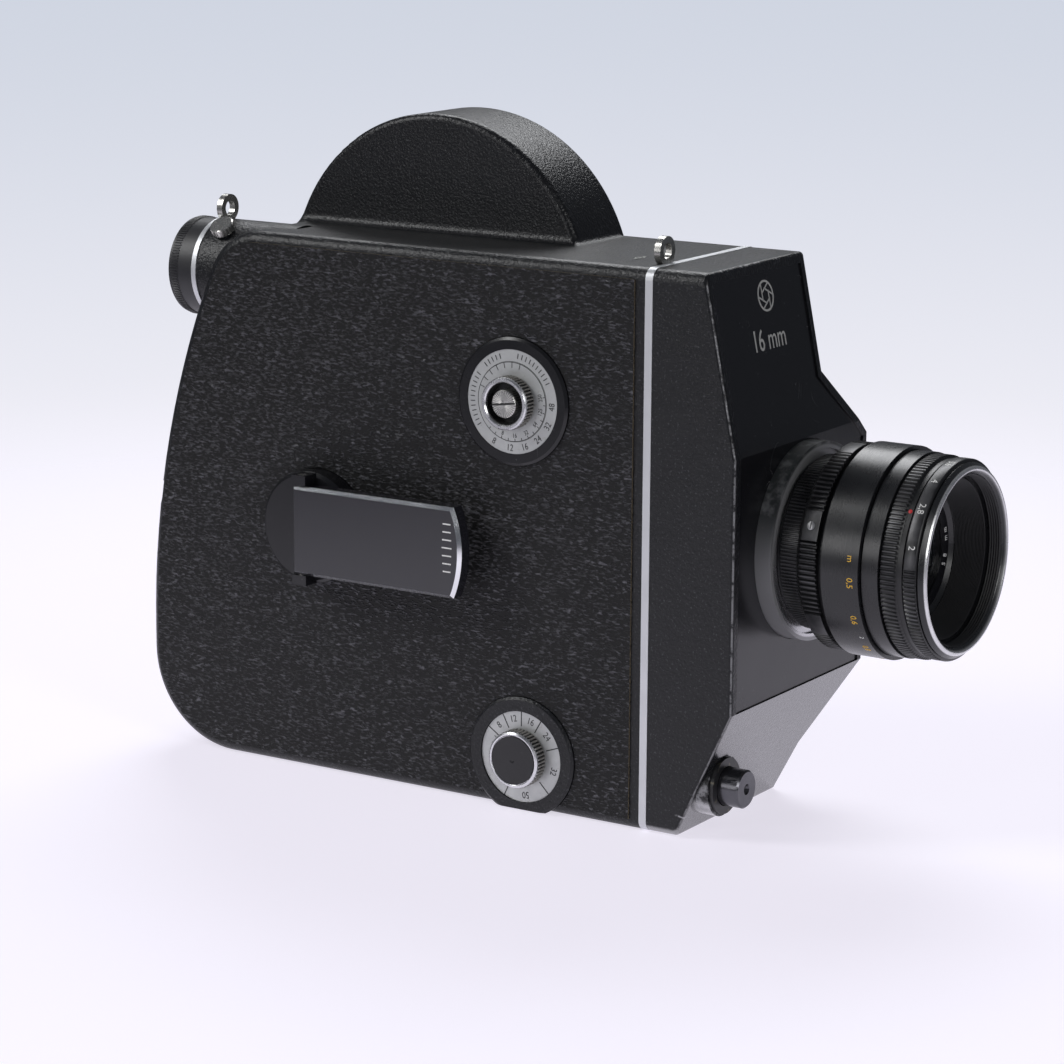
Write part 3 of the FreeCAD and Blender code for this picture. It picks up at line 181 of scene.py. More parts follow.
class Finish:
    """One material, written as expressions on its object's own coordinates, in metres."""

    def __init__(self, name):
        self.material = bpy.data.materials.new(name)
        self.material.use_nodes = True
        self.tree = self.material.node_tree
        self.tree.nodes.clear()
        self.place = self.node("ShaderNodeTexCoord", {}, {}, "Object")
        self.facing = self.node("ShaderNodeTexCoord", {}, {}, "Normal")
        self.x, self.y, self.z = self.parts(self.place)
        self.facing_y, self.facing_z = self.parts(self.facing)[1:]

    def node(self, kind, settings=None, inputs=None, output=0):
        """Adds a node: its settings first, then its sockets' values or links."""
        made = self.tree.nodes.new(kind)
        for key, value in (settings or {}).items():
            setattr(made, key, value)
        for key, value in (inputs or {}).items():
            if isinstance(value, Term):
                self.tree.links.new(value.socket, made.inputs[key])
            else:
                made.inputs[key].default_value = value
        return None if output is None else Term(self, made.outputs[output])

    def parts(self, vector):
        made = self.node("ShaderNodeSeparateXYZ", {}, {0: vector}).socket.node
        return [Term(self, socket) for socket in made.outputs]

    def scaled(self, factors):
        """The object's coordinates, stretched along each axis."""
        inputs = {0: self.place, 1: factors}
        return self.node("ShaderNodeVectorMath", {"operation": "MULTIPLY"}, inputs)

    def noise(self, size, detail=2.0, rough=0.5, stretch=(1, 1, 1), bend=0.0):
        """Cloudy noise whose features are about that size in millimetres."""
        inputs = {"Vector": self.scaled(stretch), "Scale": 1 / (size * MM)}
        inputs.update({"Detail": detail, "Roughness": rough, "Distortion": bend})
        return self.node("ShaderNodeTexNoise", {}, inputs)

    def blend(self, share, first, second):
        """A colour between two, by share."""
        inputs = {0: share, 6: first, 7: second}
        settings = {"data_type": "RGBA", "blend_type": "MIX"}
        return self.node("ShaderNodeMix", settings, inputs, 2)

    def relief(self, height, depth, strength=1.0):
        """A normal from a height between 0 and 1 that stands for a depth in millimetres."""
        inputs = {"Height": height, "Distance": depth * MM, "Strength": strength}
        return self.node("ShaderNodeBump", {}, inputs)

    def from_axis(self, axis_point, along):
        """Distance from a line along X or Y through a point."""
        first = self.y - axis_point.y if along == "x" else self.x - axis_point.x
        second = self.z - axis_point.z
        return (first * first + second * second).root()

    def done(self, **sockets):
        """Joins the surface to the output and returns the material."""
        names = {}
        for key, value in sockets.items():
            names[key.replace("_", " ").title().replace("Ior", "IOR")] = value
        shader = self.node("ShaderNodeBsdfPrincipled", {}, names)
        self.node("ShaderNodeOutputMaterial", {}, {"Surface": shader}, None)
        return self.material


def solid(colour, factor=1.0):
    """A colour, made that much brighter, with full alpha."""
    return tuple(c * factor for c in colour[:3]) + (1.0,)


def looks():
    return bpy.context.scene.cine_camera_looks


MADE = {}


def finish(maker):
    """Makes a material once, however many pieces use it."""

    def once(*words):
        key = (maker.__name__,) + words
        if key not in MADE:
            MADE[key] = maker(*words)
        return MADE[key]

    return once


# ---- Finishes ------------------------------------------------------------------------------


def front_surface(f):
    """How far forward the casing's face stands at each height."""
    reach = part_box("front_casing")[1].x
    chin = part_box("front_plate")[0].z - looks().plate_gap
    brow = chin + looks().upright_height
    upper = reach - (f.z - brow) * looks().brow_slope
    lower = reach - (chin - f.z) * looks().chin_slope
    return upper.low(lower).low(reach)


@finish
def castings_paint(part):
    """Satin black paint with a fine grain over cast aluminium, worn bright on its edges, with painted
    glints: grey specks in the colour that stand for sparkling light.
    """
    f = Finish("paint_" + part)
    grain = f.noise(0.8, 2.0, 0.55)
    clouds = f.noise(14.0, 2.0)
    painted_glints = f.noise(0.75, 1.0, 0.5).rise(0.6, 0.74)
    height = grain * 0.75 + f.noise(1.7, 2.0) * 0.25
    tone = f.blend(clouds, solid(looks().paint), solid(looks().paint, 1.55))
    # Painted glints: sparse grey specks in the base colour stand for light sparkling off the grain.
    tone = f.blend(painted_glints * 0.1, tone, (0.35, 0.36, 0.39, 1))
    rough = 0.24 + grain * 0.14 + clouds * 0.06
    metal = 0.0
    coat = 0.0
    if part == "casing":
        depth = front_surface(f) - f.x
        side = f.y - NEAR_SIDE
        corner = (depth + side.high(0.0)).rise(0.79 * MM, 0.72 * MM)
        brow = (DECK - f.z + depth).rise(0.9 * MM, 0.74 * MM) * f.noise(2.2, 3.0).rise(0.54, 0.62)
        chips = f.noise(3.2, 4.0, 0.65).rise(0.4, 0.56)
        ahead = f.x - TOE[0]
        above = f.z - TOE[1]
        rounded = (ahead * ahead + above * above).root() - 3.4 * MM
        scuff = abs(rounded).rise(0.35 * MM, 0.1 * MM) * ahead.rise(-1 * MM, 1 * MM)
        scuff = scuff * side.rise(2.5 * MM, 0.5 * MM) * f.noise(1.2, 3.0).rise(0.35, 0.5)
        bare = (corner * chips * 0.32).high(brow * 0.5).high(scuff * 0.5)
        chin = (f.facing_z + 0.25).rise(0.0, -0.3)
        marks = (abs(f.noise(9.0, 1.0, 0.4, (1, 1, 1), 2.5) - 0.5)).rise(0.0035, 0.0008)
        marks = marks * f.noise(11.0, 2.0).rise(0.56, 0.64) * chin
        tone = f.blend(bare, tone, (0.62, 0.62, 0.64, 1))
        tone = f.blend(marks * 0.8, tone, (0.002, 0.002, 0.002, 1))
        rough = rough - bare * 0.1 - chin * 0.1
        coat = chin
        metal = bare * 0.8
        height = height * (1 - chin * 0.7)
    return f.done(
        base_color=tone,
        roughness=rough,
        metallic=metal,
        specular_ior_level=0.36,
        coat_weight=coat,
        coat_roughness=0.13,
        coat_ior=3.2,
        normal=f.relief(height, 0.3, 1.0),
    )


@finish
def leather_cloth(side):
    """Black leatherette with short level wrinkles, painted highlights on their crests and painted shade in
    their valleys, its cut edge brown.
    """
    f = Finish("leatherette_" + side)
    waves = abs(f.noise(2.6, 1.0, 0.5, (0.45, 1, 1.5), 0.8) - 0.5).rise(0.0, 0.12)
    wrinkles = f.noise(0.78, 2.0, 0.5, (0.48, 1, 1.35), 0.4).rise(0.47, 0.63) * (0.35 + waves * 0.65)
    clouds = f.noise(22.0, 2.0)
    # Painted light: the wrinkles' crests are painted many times lighter and their valleys darker, standing
    # for highlights and shade; the painted glints vary those highlights, and the crests also lower the
    # roughness.
    painted_glints = f.noise(1.4, 1.0, 0.5, (0.6, 1, 1)).rise(0.42, 0.62)
    crest_and_painted_light = wrinkles * (0.55 + painted_glints * 0.45)
    tone = f.blend(crest_and_painted_light, solid(looks().leather, 0.1), solid(looks().leather, 8.0))
    cut = abs(f.facing_y).rise(0.8, 0.3)
    tone = f.blend(cut, tone, (0.13, 0.105, 0.07, 1))
    rough = 0.52 - crest_and_painted_light * 0.24 + clouds * 0.06 + cut * 0.3
    normal = f.relief(wrinkles, 0.8, 1.0)
    return f.done(base_color=tone, roughness=rough, specular_ior_level=0.34, normal=normal)


@finish
def satin_metal(kind):
    """Satin metal with a fine directional grain."""
    colours = {
        "aluminium": ((0.66, 0.67, 0.69), 0.3),
        "nickel": ((0.6, 0.59, 0.56), 0.2),
        "steel": ((0.46, 0.46, 0.47), 0.3),
        "brass": ((0.6, 0.44, 0.19), 0.3),
        "plate": ((0.5, 0.5, 0.51), 0.42),
    }
    colour, rough = colours[kind]
    f = Finish("metal_" + kind)
    grain = f.noise(0.35, 2.0, 0.5, (1, 1, 0.08))
    smears = f.noise(3.5, 3.0, 0.6)
    tone = f.blend(smears, solid(colour), solid(colour, 0.72))
    pits = f.noise(0.8, 2.0).rise(0.7, 0.78)
    tone = f.blend(pits * 0.4, tone, (0.12, 0.1, 0.08, 1))
    normal = f.relief(grain, 0.01, 0.5)
    return f.done(base_color=tone, roughness=rough + smears * 0.14, metallic=0.92, normal=normal)


@finish
def strip_metal():
    """The bright strip between body and casing."""
    f = Finish("strip_aluminium")
    clouds = f.noise(6.0, 3.0)
    grain = f.noise(0.3, 2.0, 0.5, (1, 1, 0.05))
    tone = f.blend(clouds, (0.66, 0.67, 0.69, 1), (0.56, 0.57, 0.59, 1))
    normal = f.relief(grain, 0.012, 0.5)
    return f.done(base_color=tone, roughness=0.38 + grain * 0.12, metallic=0.65, normal=normal)


@finish
def gloss_enamel(kind):
    """Gloss black enamel with hairline scratches and dust."""
    f = Finish("gloss_black_" + kind)
    scratch = (abs(f.noise(16.0, 1.5, 0.4, (1, 1, 1), 1.6) - 0.5)).rise(0.0022, 0.0005)
    scratch = scratch * f.noise(13.0, 2.0).rise(0.58, 0.68)
    dust = f.noise(0.9, 1.0).rise(0.76, 0.8)
    clouds = f.noise(9.0, 3.0)
    tone = f.blend((scratch * 0.55).high(dust * 0.2), solid(looks().enamel), (0.3, 0.3, 0.31, 1))
    rough = looks().enamel_rough + clouds * 0.1 + scratch * 0.2
    return f.done(base_color=tone, roughness=rough, normal=f.relief(f.noise(1.6, 2.0), 0.006, 0.4))


@finish
def anodised(kind):
    """Satin black anodising with fine turning lines."""
    f = Finish("anodised_" + kind)
    clouds = f.noise(5.0, 3.0)
    lines = f.noise(0.16, 1.0, 0.5, (1, 0.02, 0.02)) if kind != "dial" else f.noise(0.3, 2.0)
    tone = f.blend(clouds, solid(looks().anodise), solid(looks().anodise, 1.6))
    rough = 0.2 + clouds * 0.1 + lines * 0.06
    return f.done(base_color=tone, roughness=rough, metallic=0.0, normal=f.relief(lines, 0.008, 0.35))


@finish
def ring_knurl(radius):
    """Black anodising on a knurled ring, rubbed grey on the tips of its ridges."""
    f = Finish("anodised_knurl_%d" % round(radius * 10))
    reach = f.from_axis(LENS, "x")
    tips = reach.rise((radius - 0.2) * MM, (radius - 0.03) * MM)
    rubbed = tips * f.noise(5.0, 3.0).rise(0.3, 0.7)
    tone = f.blend(rubbed * 0.8, solid(looks().anodise, 0.8), (0.085, 0.085, 0.09, 1))
    rough = 0.3 + f.noise(2.0, 2.0) * 0.12
    return f.done(base_color=tone, roughness=rough, metallic=rubbed * 0.35)


@finish
def worn_flange_painted_light():
    """The mount's ring: black worn away to mottled bare metal, the bright metal painted heavier at its inner
    edge and towards the bottom, partly wear and partly a painted highlight of the light from below.
    """
    f = Finish("flange_worn_painted_light")
    radius = f.from_axis(LENS, "x")
    outer = half_height("lens_mount_flange")
    mottled = f.noise(3.6, 3.0, 0.55).rise(0.42, 0.7)
    inward = (radius - (outer - 0.9 * MM)).rise(0.4 * MM, -0.5 * MM)
    # Painted light: bare bright metal grows towards the bottom and the inner edge, standing partly for wear
    # and partly for the highlight of the light from below.
    lower_wear_and_painted_light = (f.z - LENS.z).rise(16 * MM, -10 * MM)
    bare = (inward * (0.5 + lower_wear_and_painted_light * 0.5)).high(lower_wear_and_painted_light * 0.5).high(mottled * 0.24)
    tone = f.blend(bare, (0.03, 0.033, 0.034, 1), (0.6, 0.6, 0.61, 1))
    rough = 0.42 - bare * 0.16
    normal = f.relief(mottled, 0.008, 0.4)
    return f.done(base_color=tone, roughness=rough, metallic=bare * 0.9, normal=normal)


@finish
def bezel_finish():
    """Gloss black cone whose front lip is worn to bright metal."""
    f = Finish("bezel_lip")
    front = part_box("lens_bezel")[1].x
    lip = (front - f.x).rise(0.75 * MM, 0.45 * MM)
    inner = (f.from_axis(LENS, "x") - looks().filter_radius).rise(1.35 * MM, 0.9 * MM)
    lip = lip * (1 - inner * 0.85) * (0.7 + f.noise(4.0, 2.0) * 0.4).low(1.0)
    tone = f.blend(lip, (0.016, 0.017, 0.019, 1), (0.78, 0.78, 0.79, 1))
    return f.done(base_color=tone, roughness=0.22 + f.noise(3.0, 2.0) * 0.12, metallic=lip * 0.9)


@finish
def matt_black(kind):
    """Dull black, for the inside of the lens and the works."""
    f = Finish("matt_black_" + kind)
    clouds = f.noise(3.0, 2.0)
    tone = f.blend(clouds, (0.006, 0.006, 0.007, 1), (0.014, 0.014, 0.015, 1))
    return f.done(base_color=tone, roughness=0.5 + clouds * 0.2, normal=f.relief(f.noise(0.3), 0.01, 0.3))


@finish
def rubber():
    """The eyecup's dull black rubbery edge."""
    f = Finish("eyecup_black")
    fine = f.noise(0.5, 2.0)
    tone = f.blend(f.noise(6.0), (0.012, 0.012, 0.014, 1), (0.022, 0.022, 0.026, 1))
    return f.done(base_color=tone, roughness=0.36 + fine * 0.14, normal=f.relief(fine, 0.02, 0.4))


@finish
def optical_glass(kind):
    """Coated glass."""
    tints = {"front": (0.82, 0.86, 1.0), "plain": (0.95, 0.97, 1.0)}
    f = Finish("glass_" + kind)
    smears = f.noise(8.0, 2.0)
    return f.done(
        base_color=f.blend(smears, solid(tints[kind]), (1, 1, 1, 1)),
        roughness=0.01 + smears * 0.03,
        transmission_weight=1.0,
        ior=1.55,
        coat_weight=0.3,
    )


@finish
def mirror_silver():
    """The shutter's front-silvered blades."""
    f = Finish("mirror_silver")
    clouds = f.noise(7.0, 2.0)
    tone = f.blend(clouds, (0.86, 0.87, 0.9, 1), (0.8, 0.81, 0.84, 1))
    return f.done(base_color=tone, roughness=0.04 + clouds * 0.04, metallic=1.0)


@finish
def marking_paint(colour):
    """Paint in an engraved mark, a little uneven."""
    colours = {
        "white": (0.72, 0.72, 0.7),
        "grey": (0.42, 0.42, 0.4),
        "black": (0.012, 0.012, 0.012),
        "yellow": (0.72, 0.42, 0.03),
        "red": (0.55, 0.015, 0.02),
    }
    base = colours[colour]
    f = Finish("marking_" + colour)
    worn = f.noise(0.6, 3.0).rise(0.55, 0.75)
    tone = f.blend(worn * 0.35, solid(base), solid([c * 0.5 + 0.01 for c in base]))
    return f.done(base_color=tone, roughness=0.45 + worn * 0.2)


@finish
def dial_metal(kind):
    """A dial's silver face, lightly tarnished in patches."""
    f = Finish("dial_" + kind)
    clouds = f.noise(3.0, 4.0, 0.65)
    stains = f.noise(1.6, 3.0, 0.6).rise(0.6, 0.75)
    tone = f.blend(clouds, (0.56, 0.57, 0.56, 1), (0.42, 0.43, 0.43, 1))
    tone = f.blend(stains * 0.35, tone, (0.25, 0.22, 0.18, 1))
    normal = f.relief(clouds, 0.01, 0.3)
    return f.done(base_color=tone, roughness=0.34 + clouds * 0.18, metallic=0.55, normal=normal)


@finish
def knob_finish(kind):
    """A knob that is dark between its ridges and bright on its rim."""
    f = Finish("knob_" + kind)
    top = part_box(kind + "_knob")[0].y
    rim = (f.y - top).rise(1.25 * MM, 0.85 * MM)
    dial = EXPOSURE_DIAL if kind == "exposure" else SPEED_DIAL
    radius = half_height(kind + "_knob")
    tips = f.from_axis(dial, "y").rise(radius - 0.5 * MM, radius - 0.1 * MM)
    dirt = f.noise(2.2, 3.0)
    side = f.blend(tips * (0.35 + dirt * 0.5), (0.02, 0.02, 0.021, 1), (0.42, 0.4, 0.37, 1))
    tone = f.blend(rim, side, (0.7, 0.7, 0.72, 1))
    metal = 0.35 + rim * 0.6
    return f.done(base_color=tone, roughness=0.2 + dirt * 0.16, metallic=metal)


@finish
def sunburst():
    """A screw head with lines turned out from its middle."""
    f = Finish("screw_sunburst")
    angle = (f.z - EXPOSURE_DIAL.z).around(f.x - EXPOSURE_DIAL.x)
    rays = (angle * 34.0).wave() * 0.5 + 0.5
    tone = f.blend(rays, (0.28, 0.28, 0.27, 1), (0.66, 0.65, 0.62, 1))
    rough = 0.2 + f.noise(1.0, 3.0) * 0.2
    return f.done(base_color=tone, roughness=rough, metallic=0.9, normal=f.relief(rays, 0.05, 0.5))


@finish
def paddle_enamel():
    """The crank: gloss black with its chamfer and rim polished bright."""
    f = Finish("crank_enamel")
    face = (f.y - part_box("crank_paddle")[0].y).rise(1.3 * MM, 1.1 * MM)
    slope = abs(f.facing_y).rise(0.95, 0.85) * abs(f.facing_y).rise(0.35, 0.5)
    bright = face * slope
    clouds = f.noise(7.0, 3.0)
    tone = f.blend(bright, (0.012, 0.012, 0.016, 1), (0.82, 0.83, 0.85, 1))
    rough = 0.1 + clouds * 0.08
    return f.done(base_color=tone, roughness=rough, metallic=bright, coat_weight=0.4)


@finish
def dark_chrome():
    """The release button's blackened chrome."""
    f = Finish("button_dark_chrome")
    clouds = f.noise(4.0, 3.0)
    tone = f.blend(clouds, (0.07, 0.07, 0.08, 1), (0.13, 0.13, 0.14, 1))
    return f.done(base_color=tone, roughness=0.16 + clouds * 0.14, metallic=0.9)


@finish
def brassed_collar():
    """Black worn through to brass."""
    f = Finish("collar_worn_brass")
    worn = f.noise(1.8, 3.0, 0.55).rise(0.6, 0.72)
    tone = f.blend(worn, (0.012, 0.012, 0.013, 1), (0.12, 0.11, 0.085, 1))
    return f.done(base_color=tone, roughness=0.38 - worn * 0.08, metallic=worn * 0.7)


# ---- Shapes --------------------------------------------------------------------------------


def side_vectors(along):
    """Two directions square to an axis: the first is up, or forward on an upright axis."""
    first = X if abs(along.z) > 0.9 else (Z - along * along.z).normalized()
    return first, along.cross(first)


def add_piece(name, work, body, material, replaced=()):
    """Turns a working mesh into a piece of the camera that moves with a body."""
    bmesh.ops.remove_doubles(work, verts=work.verts, dist=1e-7)
    bmesh.ops.dissolve_degenerate(work, edges=work.edges, dist=1e-8)
    bmesh.ops.recalc_face_normals(work, faces=work.faces)
    mesh = bpy.data.meshes.new(name)
    work.to_mesh(mesh)
    work.free()
    if not mesh.polygons:
        raise RuntimeError("the piece " + name + " has no faces")
    mesh.shade_smooth()
    mesh.set_sharp_from_angle(angle=math.radians(32))
    mesh.materials.append(material)
    piece = bpy.data.objects.new(name, mesh)
    bpy.context.scene.collection.objects.link(piece)
    if replaced:
        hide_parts(*replaced)
    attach(piece, body)
    return piece


def turn(work, centre, along, outline, share=None, steps=192, closed=True):
    """Turns an outline of (distance, radius, tooth depth) about an axis, in millimetres.
    share gives how deep the tooth is cut at step k, from 0 to 1."""
    first, second = side_vectors(along)
    rings = []
    for distance, radius, *tooth in outline:
        depth = tooth[0] if tooth else 0.0
        ring = []
        for k in range(steps):
            angle = 2 * math.pi * k / steps
            cut = depth * share(k) if share and depth else 0.0
            out = first * math.cos(angle) + second * math.sin(angle)
            ring.append(work.verts.new(centre + along * distance * MM + out * (radius - cut) * MM))
        rings.append(ring)
    pairs = list(zip(rings, rings[1:]))
    if closed:
        pairs.append((rings[-1], rings[0]))
    for near, far in pairs:
        for k in range(steps):
            after = (k + 1) % steps
            work.faces.new((near[k], near[after], far[after], far[k]))


def softened(outline, round_by=0.12):
    """A closed outline with each corner cut back a little, so that edges catch light."""
    result = []
    count = len(outline)
    for k, point in enumerate(outline):
        here = Vector(point[:2])
        tooth = point[2] if len(point) > 2 else 0.0
        for other in (outline[k - 1], outline[(k + 1) % count]):
            way = Vector(other[:2]) - here
            step = min(round_by, way.length / 3)
            moved = here + way.normalized() * step
            result.append((moved.x, moved.y, tooth))
    return result


def straight_teeth(k):
    """Four steps to a tooth: two at the tip, two at the root."""
    return 1.0 if k % 4 > 1 else 0.0


def patched_teeth(teeth, patches, land):
    """Teeth in equal patches, with smooth lands between that take up a share of each patch."""

    def share(k):
        place = (k / (teeth * 4) * patches) % 1.0
        return straight_teeth(k) if place > land else 0.0

    return share


class Marks:
    """Raised lettering, ticks and rings of one colour on one body, gathered into one piece."""

    def __init__(self):
        self.work = bmesh.new()

    def letters(self, words, height, place, thick=0.05, narrow=1.0):
        """Lettering of that height in millimetres; place maps (right, up, out) to the frame."""
        curve = bpy.data.curves.new("letters", "FONT")
        curve.body = words
        curve.size = height / 0.72
        curve.align_x = "CENTER"
        curve.align_y = "CENTER"
        curve.extrude = thick / 2
        curve.resolution_u = 3
        sample = bpy.data.objects.new("letters", curve)
        bpy.context.scene.collection.objects.link(sample)
        bpy.context.view_layer.update()
        drawn = bpy.data.meshes.new_from_object(sample.evaluated_get(bpy.context.evaluated_depsgraph_get()))
        start = len(self.work.verts)
        self.work.from_mesh(drawn)
        self.work.verts.ensure_lookup_table()
        for vertex in self.work.verts[start:]:
            vertex.co = place(vertex.co.x * narrow, vertex.co.y, vertex.co.z + thick / 2)
        bpy.data.objects.remove(sample)
        bpy.data.curves.remove(curve)
        bpy.data.meshes.remove(drawn)

    def bar(self, place, left, right, bottom, top, thick=0.05, pieces=1):
        """A rectangular stroke."""
        rows = []
        for k in range(pieces + 1):
            u = left + (right - left) * k / pieces
            corners = ((u, bottom, 0.0), (u, top, 0.0), (u, top, thick), (u, bottom, thick))
            rows.append([self.work.verts.new(place(*corner)) for corner in corners])
        for row, after in zip(rows, rows[1:]):
            for k in range(4):
                nxt = (k + 1) % 4
                self.work.faces.new((row[k], row[nxt], after[nxt], after[k]))
        self.work.faces.new(rows[0][::-1])
        self.work.faces.new(rows[-1])

    def hoop(self, place, inner, outer, steps=64, thick=0.05):
        """A flat ring."""
        rings = []
        for radius, out in ((inner, 0.0), (outer, 0.0), (outer, thick), (inner, thick)):
            angles = [2 * math.pi * k / steps for k in range(steps)]
            spots = [place(radius * math.cos(a), radius * math.sin(a), out) for a in angles]
            rings.append([self.work.verts.new(spot) for spot in spots])
        for ring, after in zip(rings, rings[1:] + rings[:1]):
            for k in range(steps):
                nxt = (k + 1) % steps
                self.work.faces.new((ring[k], ring[nxt], after[nxt], after[k]))

    def piece(self, name, body, slot, colour):
        return add_piece(name, self.work, body, marking_paint(colour))


def on_plane(origin, right, up):
    """Lettering on a flat face."""
    out = right.cross(up)
    return lambda u, v, w: origin + (right * u + up * v + out * w) * MM


def on_drum(centre, along, radius, distance, angle):
    """Lettering round a drum, read down the near side with its tops towards the axis's end."""
    first, second = side_vectors(along)

    def place(u, v, w):
        turned_by = angle + u / radius
        out = first * math.cos(turned_by) + second * math.sin(turned_by)
        return centre + (along * (distance + v) + out * (radius + w)) * MM

    return place


def on_dial(centre, level, radius, angle, inward=False):
    """Lettering on the near side's dials at an angle clockwise from the top."""
    out = (X * math.sin(angle) + Z * math.cos(angle)) * (-1 if inward else 1)
    right = (X * math.cos(angle) - Z * math.sin(angle)) * (-1 if inward else 1)
    spot = centre + (X * math.sin(angle) + Z * math.cos(angle)) * radius * MM + NEAR * level * MM
    return on_plane(spot, right, out)


def turned_piece(name, body, material, centre, along, outline, share=None, steps=192, replaced=()):
    """A piece turned from one closed outline."""
    work = bmesh.new()
    turn(work, centre, along, outline, share, steps)
    return add_piece(name, work, body, material, replaced)


def screw_spot(place):
    """The middle of a screw on a curved face, and the way it points."""
    centre = place(0, 0, 0)
    return centre, (place(0, 0, 1) - centre).normalized()


def finish_nodes(material, *nodes):
    """Gives CAD nodes their material."""
    for node in nodes:
        target = frame["nodes"][node]
        target.data.materials.clear()
        target.data.materials.append(material)


# ---- Sizes and colours ---------------------------------------------------------------------


class CineCameraLooks(bpy.types.PropertyGroup):
    """Colours and fine sizes of the camera's visible pieces."""

    paint: FloatVectorProperty(
        name="Casting paint",
        description="Satin black of the castings",
        subtype="COLOR",
        default=(0.0055, 0.0058, 0.007),
    )
    leather: FloatVectorProperty(
        name="Leatherette",
        description="Black of the leatherette",
        subtype="COLOR",
        default=(0.013, 0.013, 0.0145),
    )
    enamel: FloatVectorProperty(
        name="Enamel",
        description="Gloss black of the front plate",
        subtype="COLOR",
        default=(0.006, 0.006, 0.0075),
    )
    anodise: FloatVectorProperty(
        name="Anodising",
        description="Black of the lens rings",
        subtype="COLOR",
        default=(0.008, 0.0083, 0.0095),
    )
    enamel_rough: FloatProperty(
        name="Enamel roughness",
        description="Roughness of the gloss enamel",
        default=0.2,
        min=0.0,
        max=1.0,
    )
    floor: FloatVectorProperty(
        name="Floor",
        description="Pale floor",
        subtype="COLOR",
        default=(0.8, 0.77, 0.86),
    )
    plate_gap: FloatProperty(
        name="Plate gap",
        description="From the chin's crease up to the front plate",
        default=0.1 * MM,
        unit="LENGTH",
    )
    upright_height: FloatProperty(
        name="Upright height",
        description="Height of the casing's upright face",
        default=73.3 * MM,
        unit="LENGTH",
    )
    brow_slope: FloatProperty(name="Brow slope", description="Lean of the upper face", default=0.2047)
    chin_slope: FloatProperty(name="Chin slope", description="Lean of the lower face", default=0.4677)
    filter_radius: FloatProperty(
        name="Filter radius",
        description="Radius of the filter thread",
        default=24.5 * MM,
        unit="LENGTH",
    )
    knurl_depth: FloatProperty(
        name="Knurl depth",
        description="Depth of the ring knurls, in mm",
        default=0.45,
    )
    ring_teeth: IntProperty(name="Ring teeth", description="Teeth round a lens ring", default=132)


class CinePieceOperator:
    """What the operators share."""

    bl_options = {"REGISTER", "UNDO"}


# ---- Body ----------------------------------------------------------------------------------


class CINE_OT_castings(CinePieceOperator, bpy.types.Operator):
    """Paints the shell, front casing, door and their plain metal parts"""

    bl_idname = "cine.castings"
    bl_label = "Castings"

    def execute(self, context):
        finish_nodes(castings_paint("shell"), "main_shell", "film_door")
        finish_nodes(castings_paint("casing"), "front_casing")
        finish_nodes(strip_metal(), "trim_strip")
        finish_nodes(satin_metal("plate"), "mechanism_plate")
        finish_nodes(satin_metal("nickel"), "tripod_bush", "door_hinge_pin")
        mark = Marks()
        place = on_plane(FILM_PLANE_MARK, X, Y)
        mark.bar(place, -0.35, 0.35, -3.2, 3.2)
        mark.hoop(place, 1.1, 1.5)
        mark.piece("film_plane_mark", "camera", "crackle_paint", "grey")
        return {"FINISHED"}


class CINE_OT_leatherette(CinePieceOperator, bpy.types.Operator):
    """Covers the near side and the door with leatherette"""

    bl_idname = "cine.leatherette"
    bl_label = "Leatherette"

    def execute(self, context):
        finish_nodes(leather_cloth("side"), "side_leatherette")
        finish_nodes(leather_cloth("door"), "door_leatherette")
        return {"FINISHED"}


class CINE_OT_front_plate(CinePieceOperator, bpy.types.Operator):
    """Enamels the front plate and adds its plain emblem and film gauge"""

    bl_idname = "cine.front_plate"
    bl_label = "Front plate"

    def execute(self, context):
        finish_nodes(gloss_enamel("plate"), "front_plate")
        slope = looks().brow_slope
        up = Vector((-slope, 0, 1)).normalized()
        low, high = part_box("front_plate")
        brow = low.z - looks().plate_gap + looks().upright_height
        face = high.x + 0.03 * MM

        def spot(y, height):
            return Vector((face - (height - brow) * slope, y, height))

        marks = Marks()
        marks.letters("16 mm", 6.4, on_plane(spot(1.5 * MM, 141.5 * MM), Y, up), narrow=0.78)
        emblem = on_plane(spot(3.2 * MM, 153.6 * MM), Y, up)
        marks.hoop(emblem, 3.9, 4.5)
        blades = 6
        for k in range(blades):
            angle = 2 * math.pi * k / blades
            start = Vector((math.cos(angle), math.sin(angle), 0)) * 3.95
            end = Vector((math.cos(angle + 1.75), math.sin(angle + 1.75), 0)) * 2.3
            way = (end - start).normalized()
            across = Vector((-way.y, way.x, 0))

            def stroke(u, v, w, start=start, way=way, across=across):
                point = start + way * u + across * v
                return emblem(point.x, point.y, w)

            marks.bar(stroke, 0.0, (end - start).length, -0.22, 0.22)
        marks.piece("front_plate_marks", "camera", "gloss_black", "grey")
        return {"FINISHED"}


# ---- Lens ----------------------------------------------------------------------------------


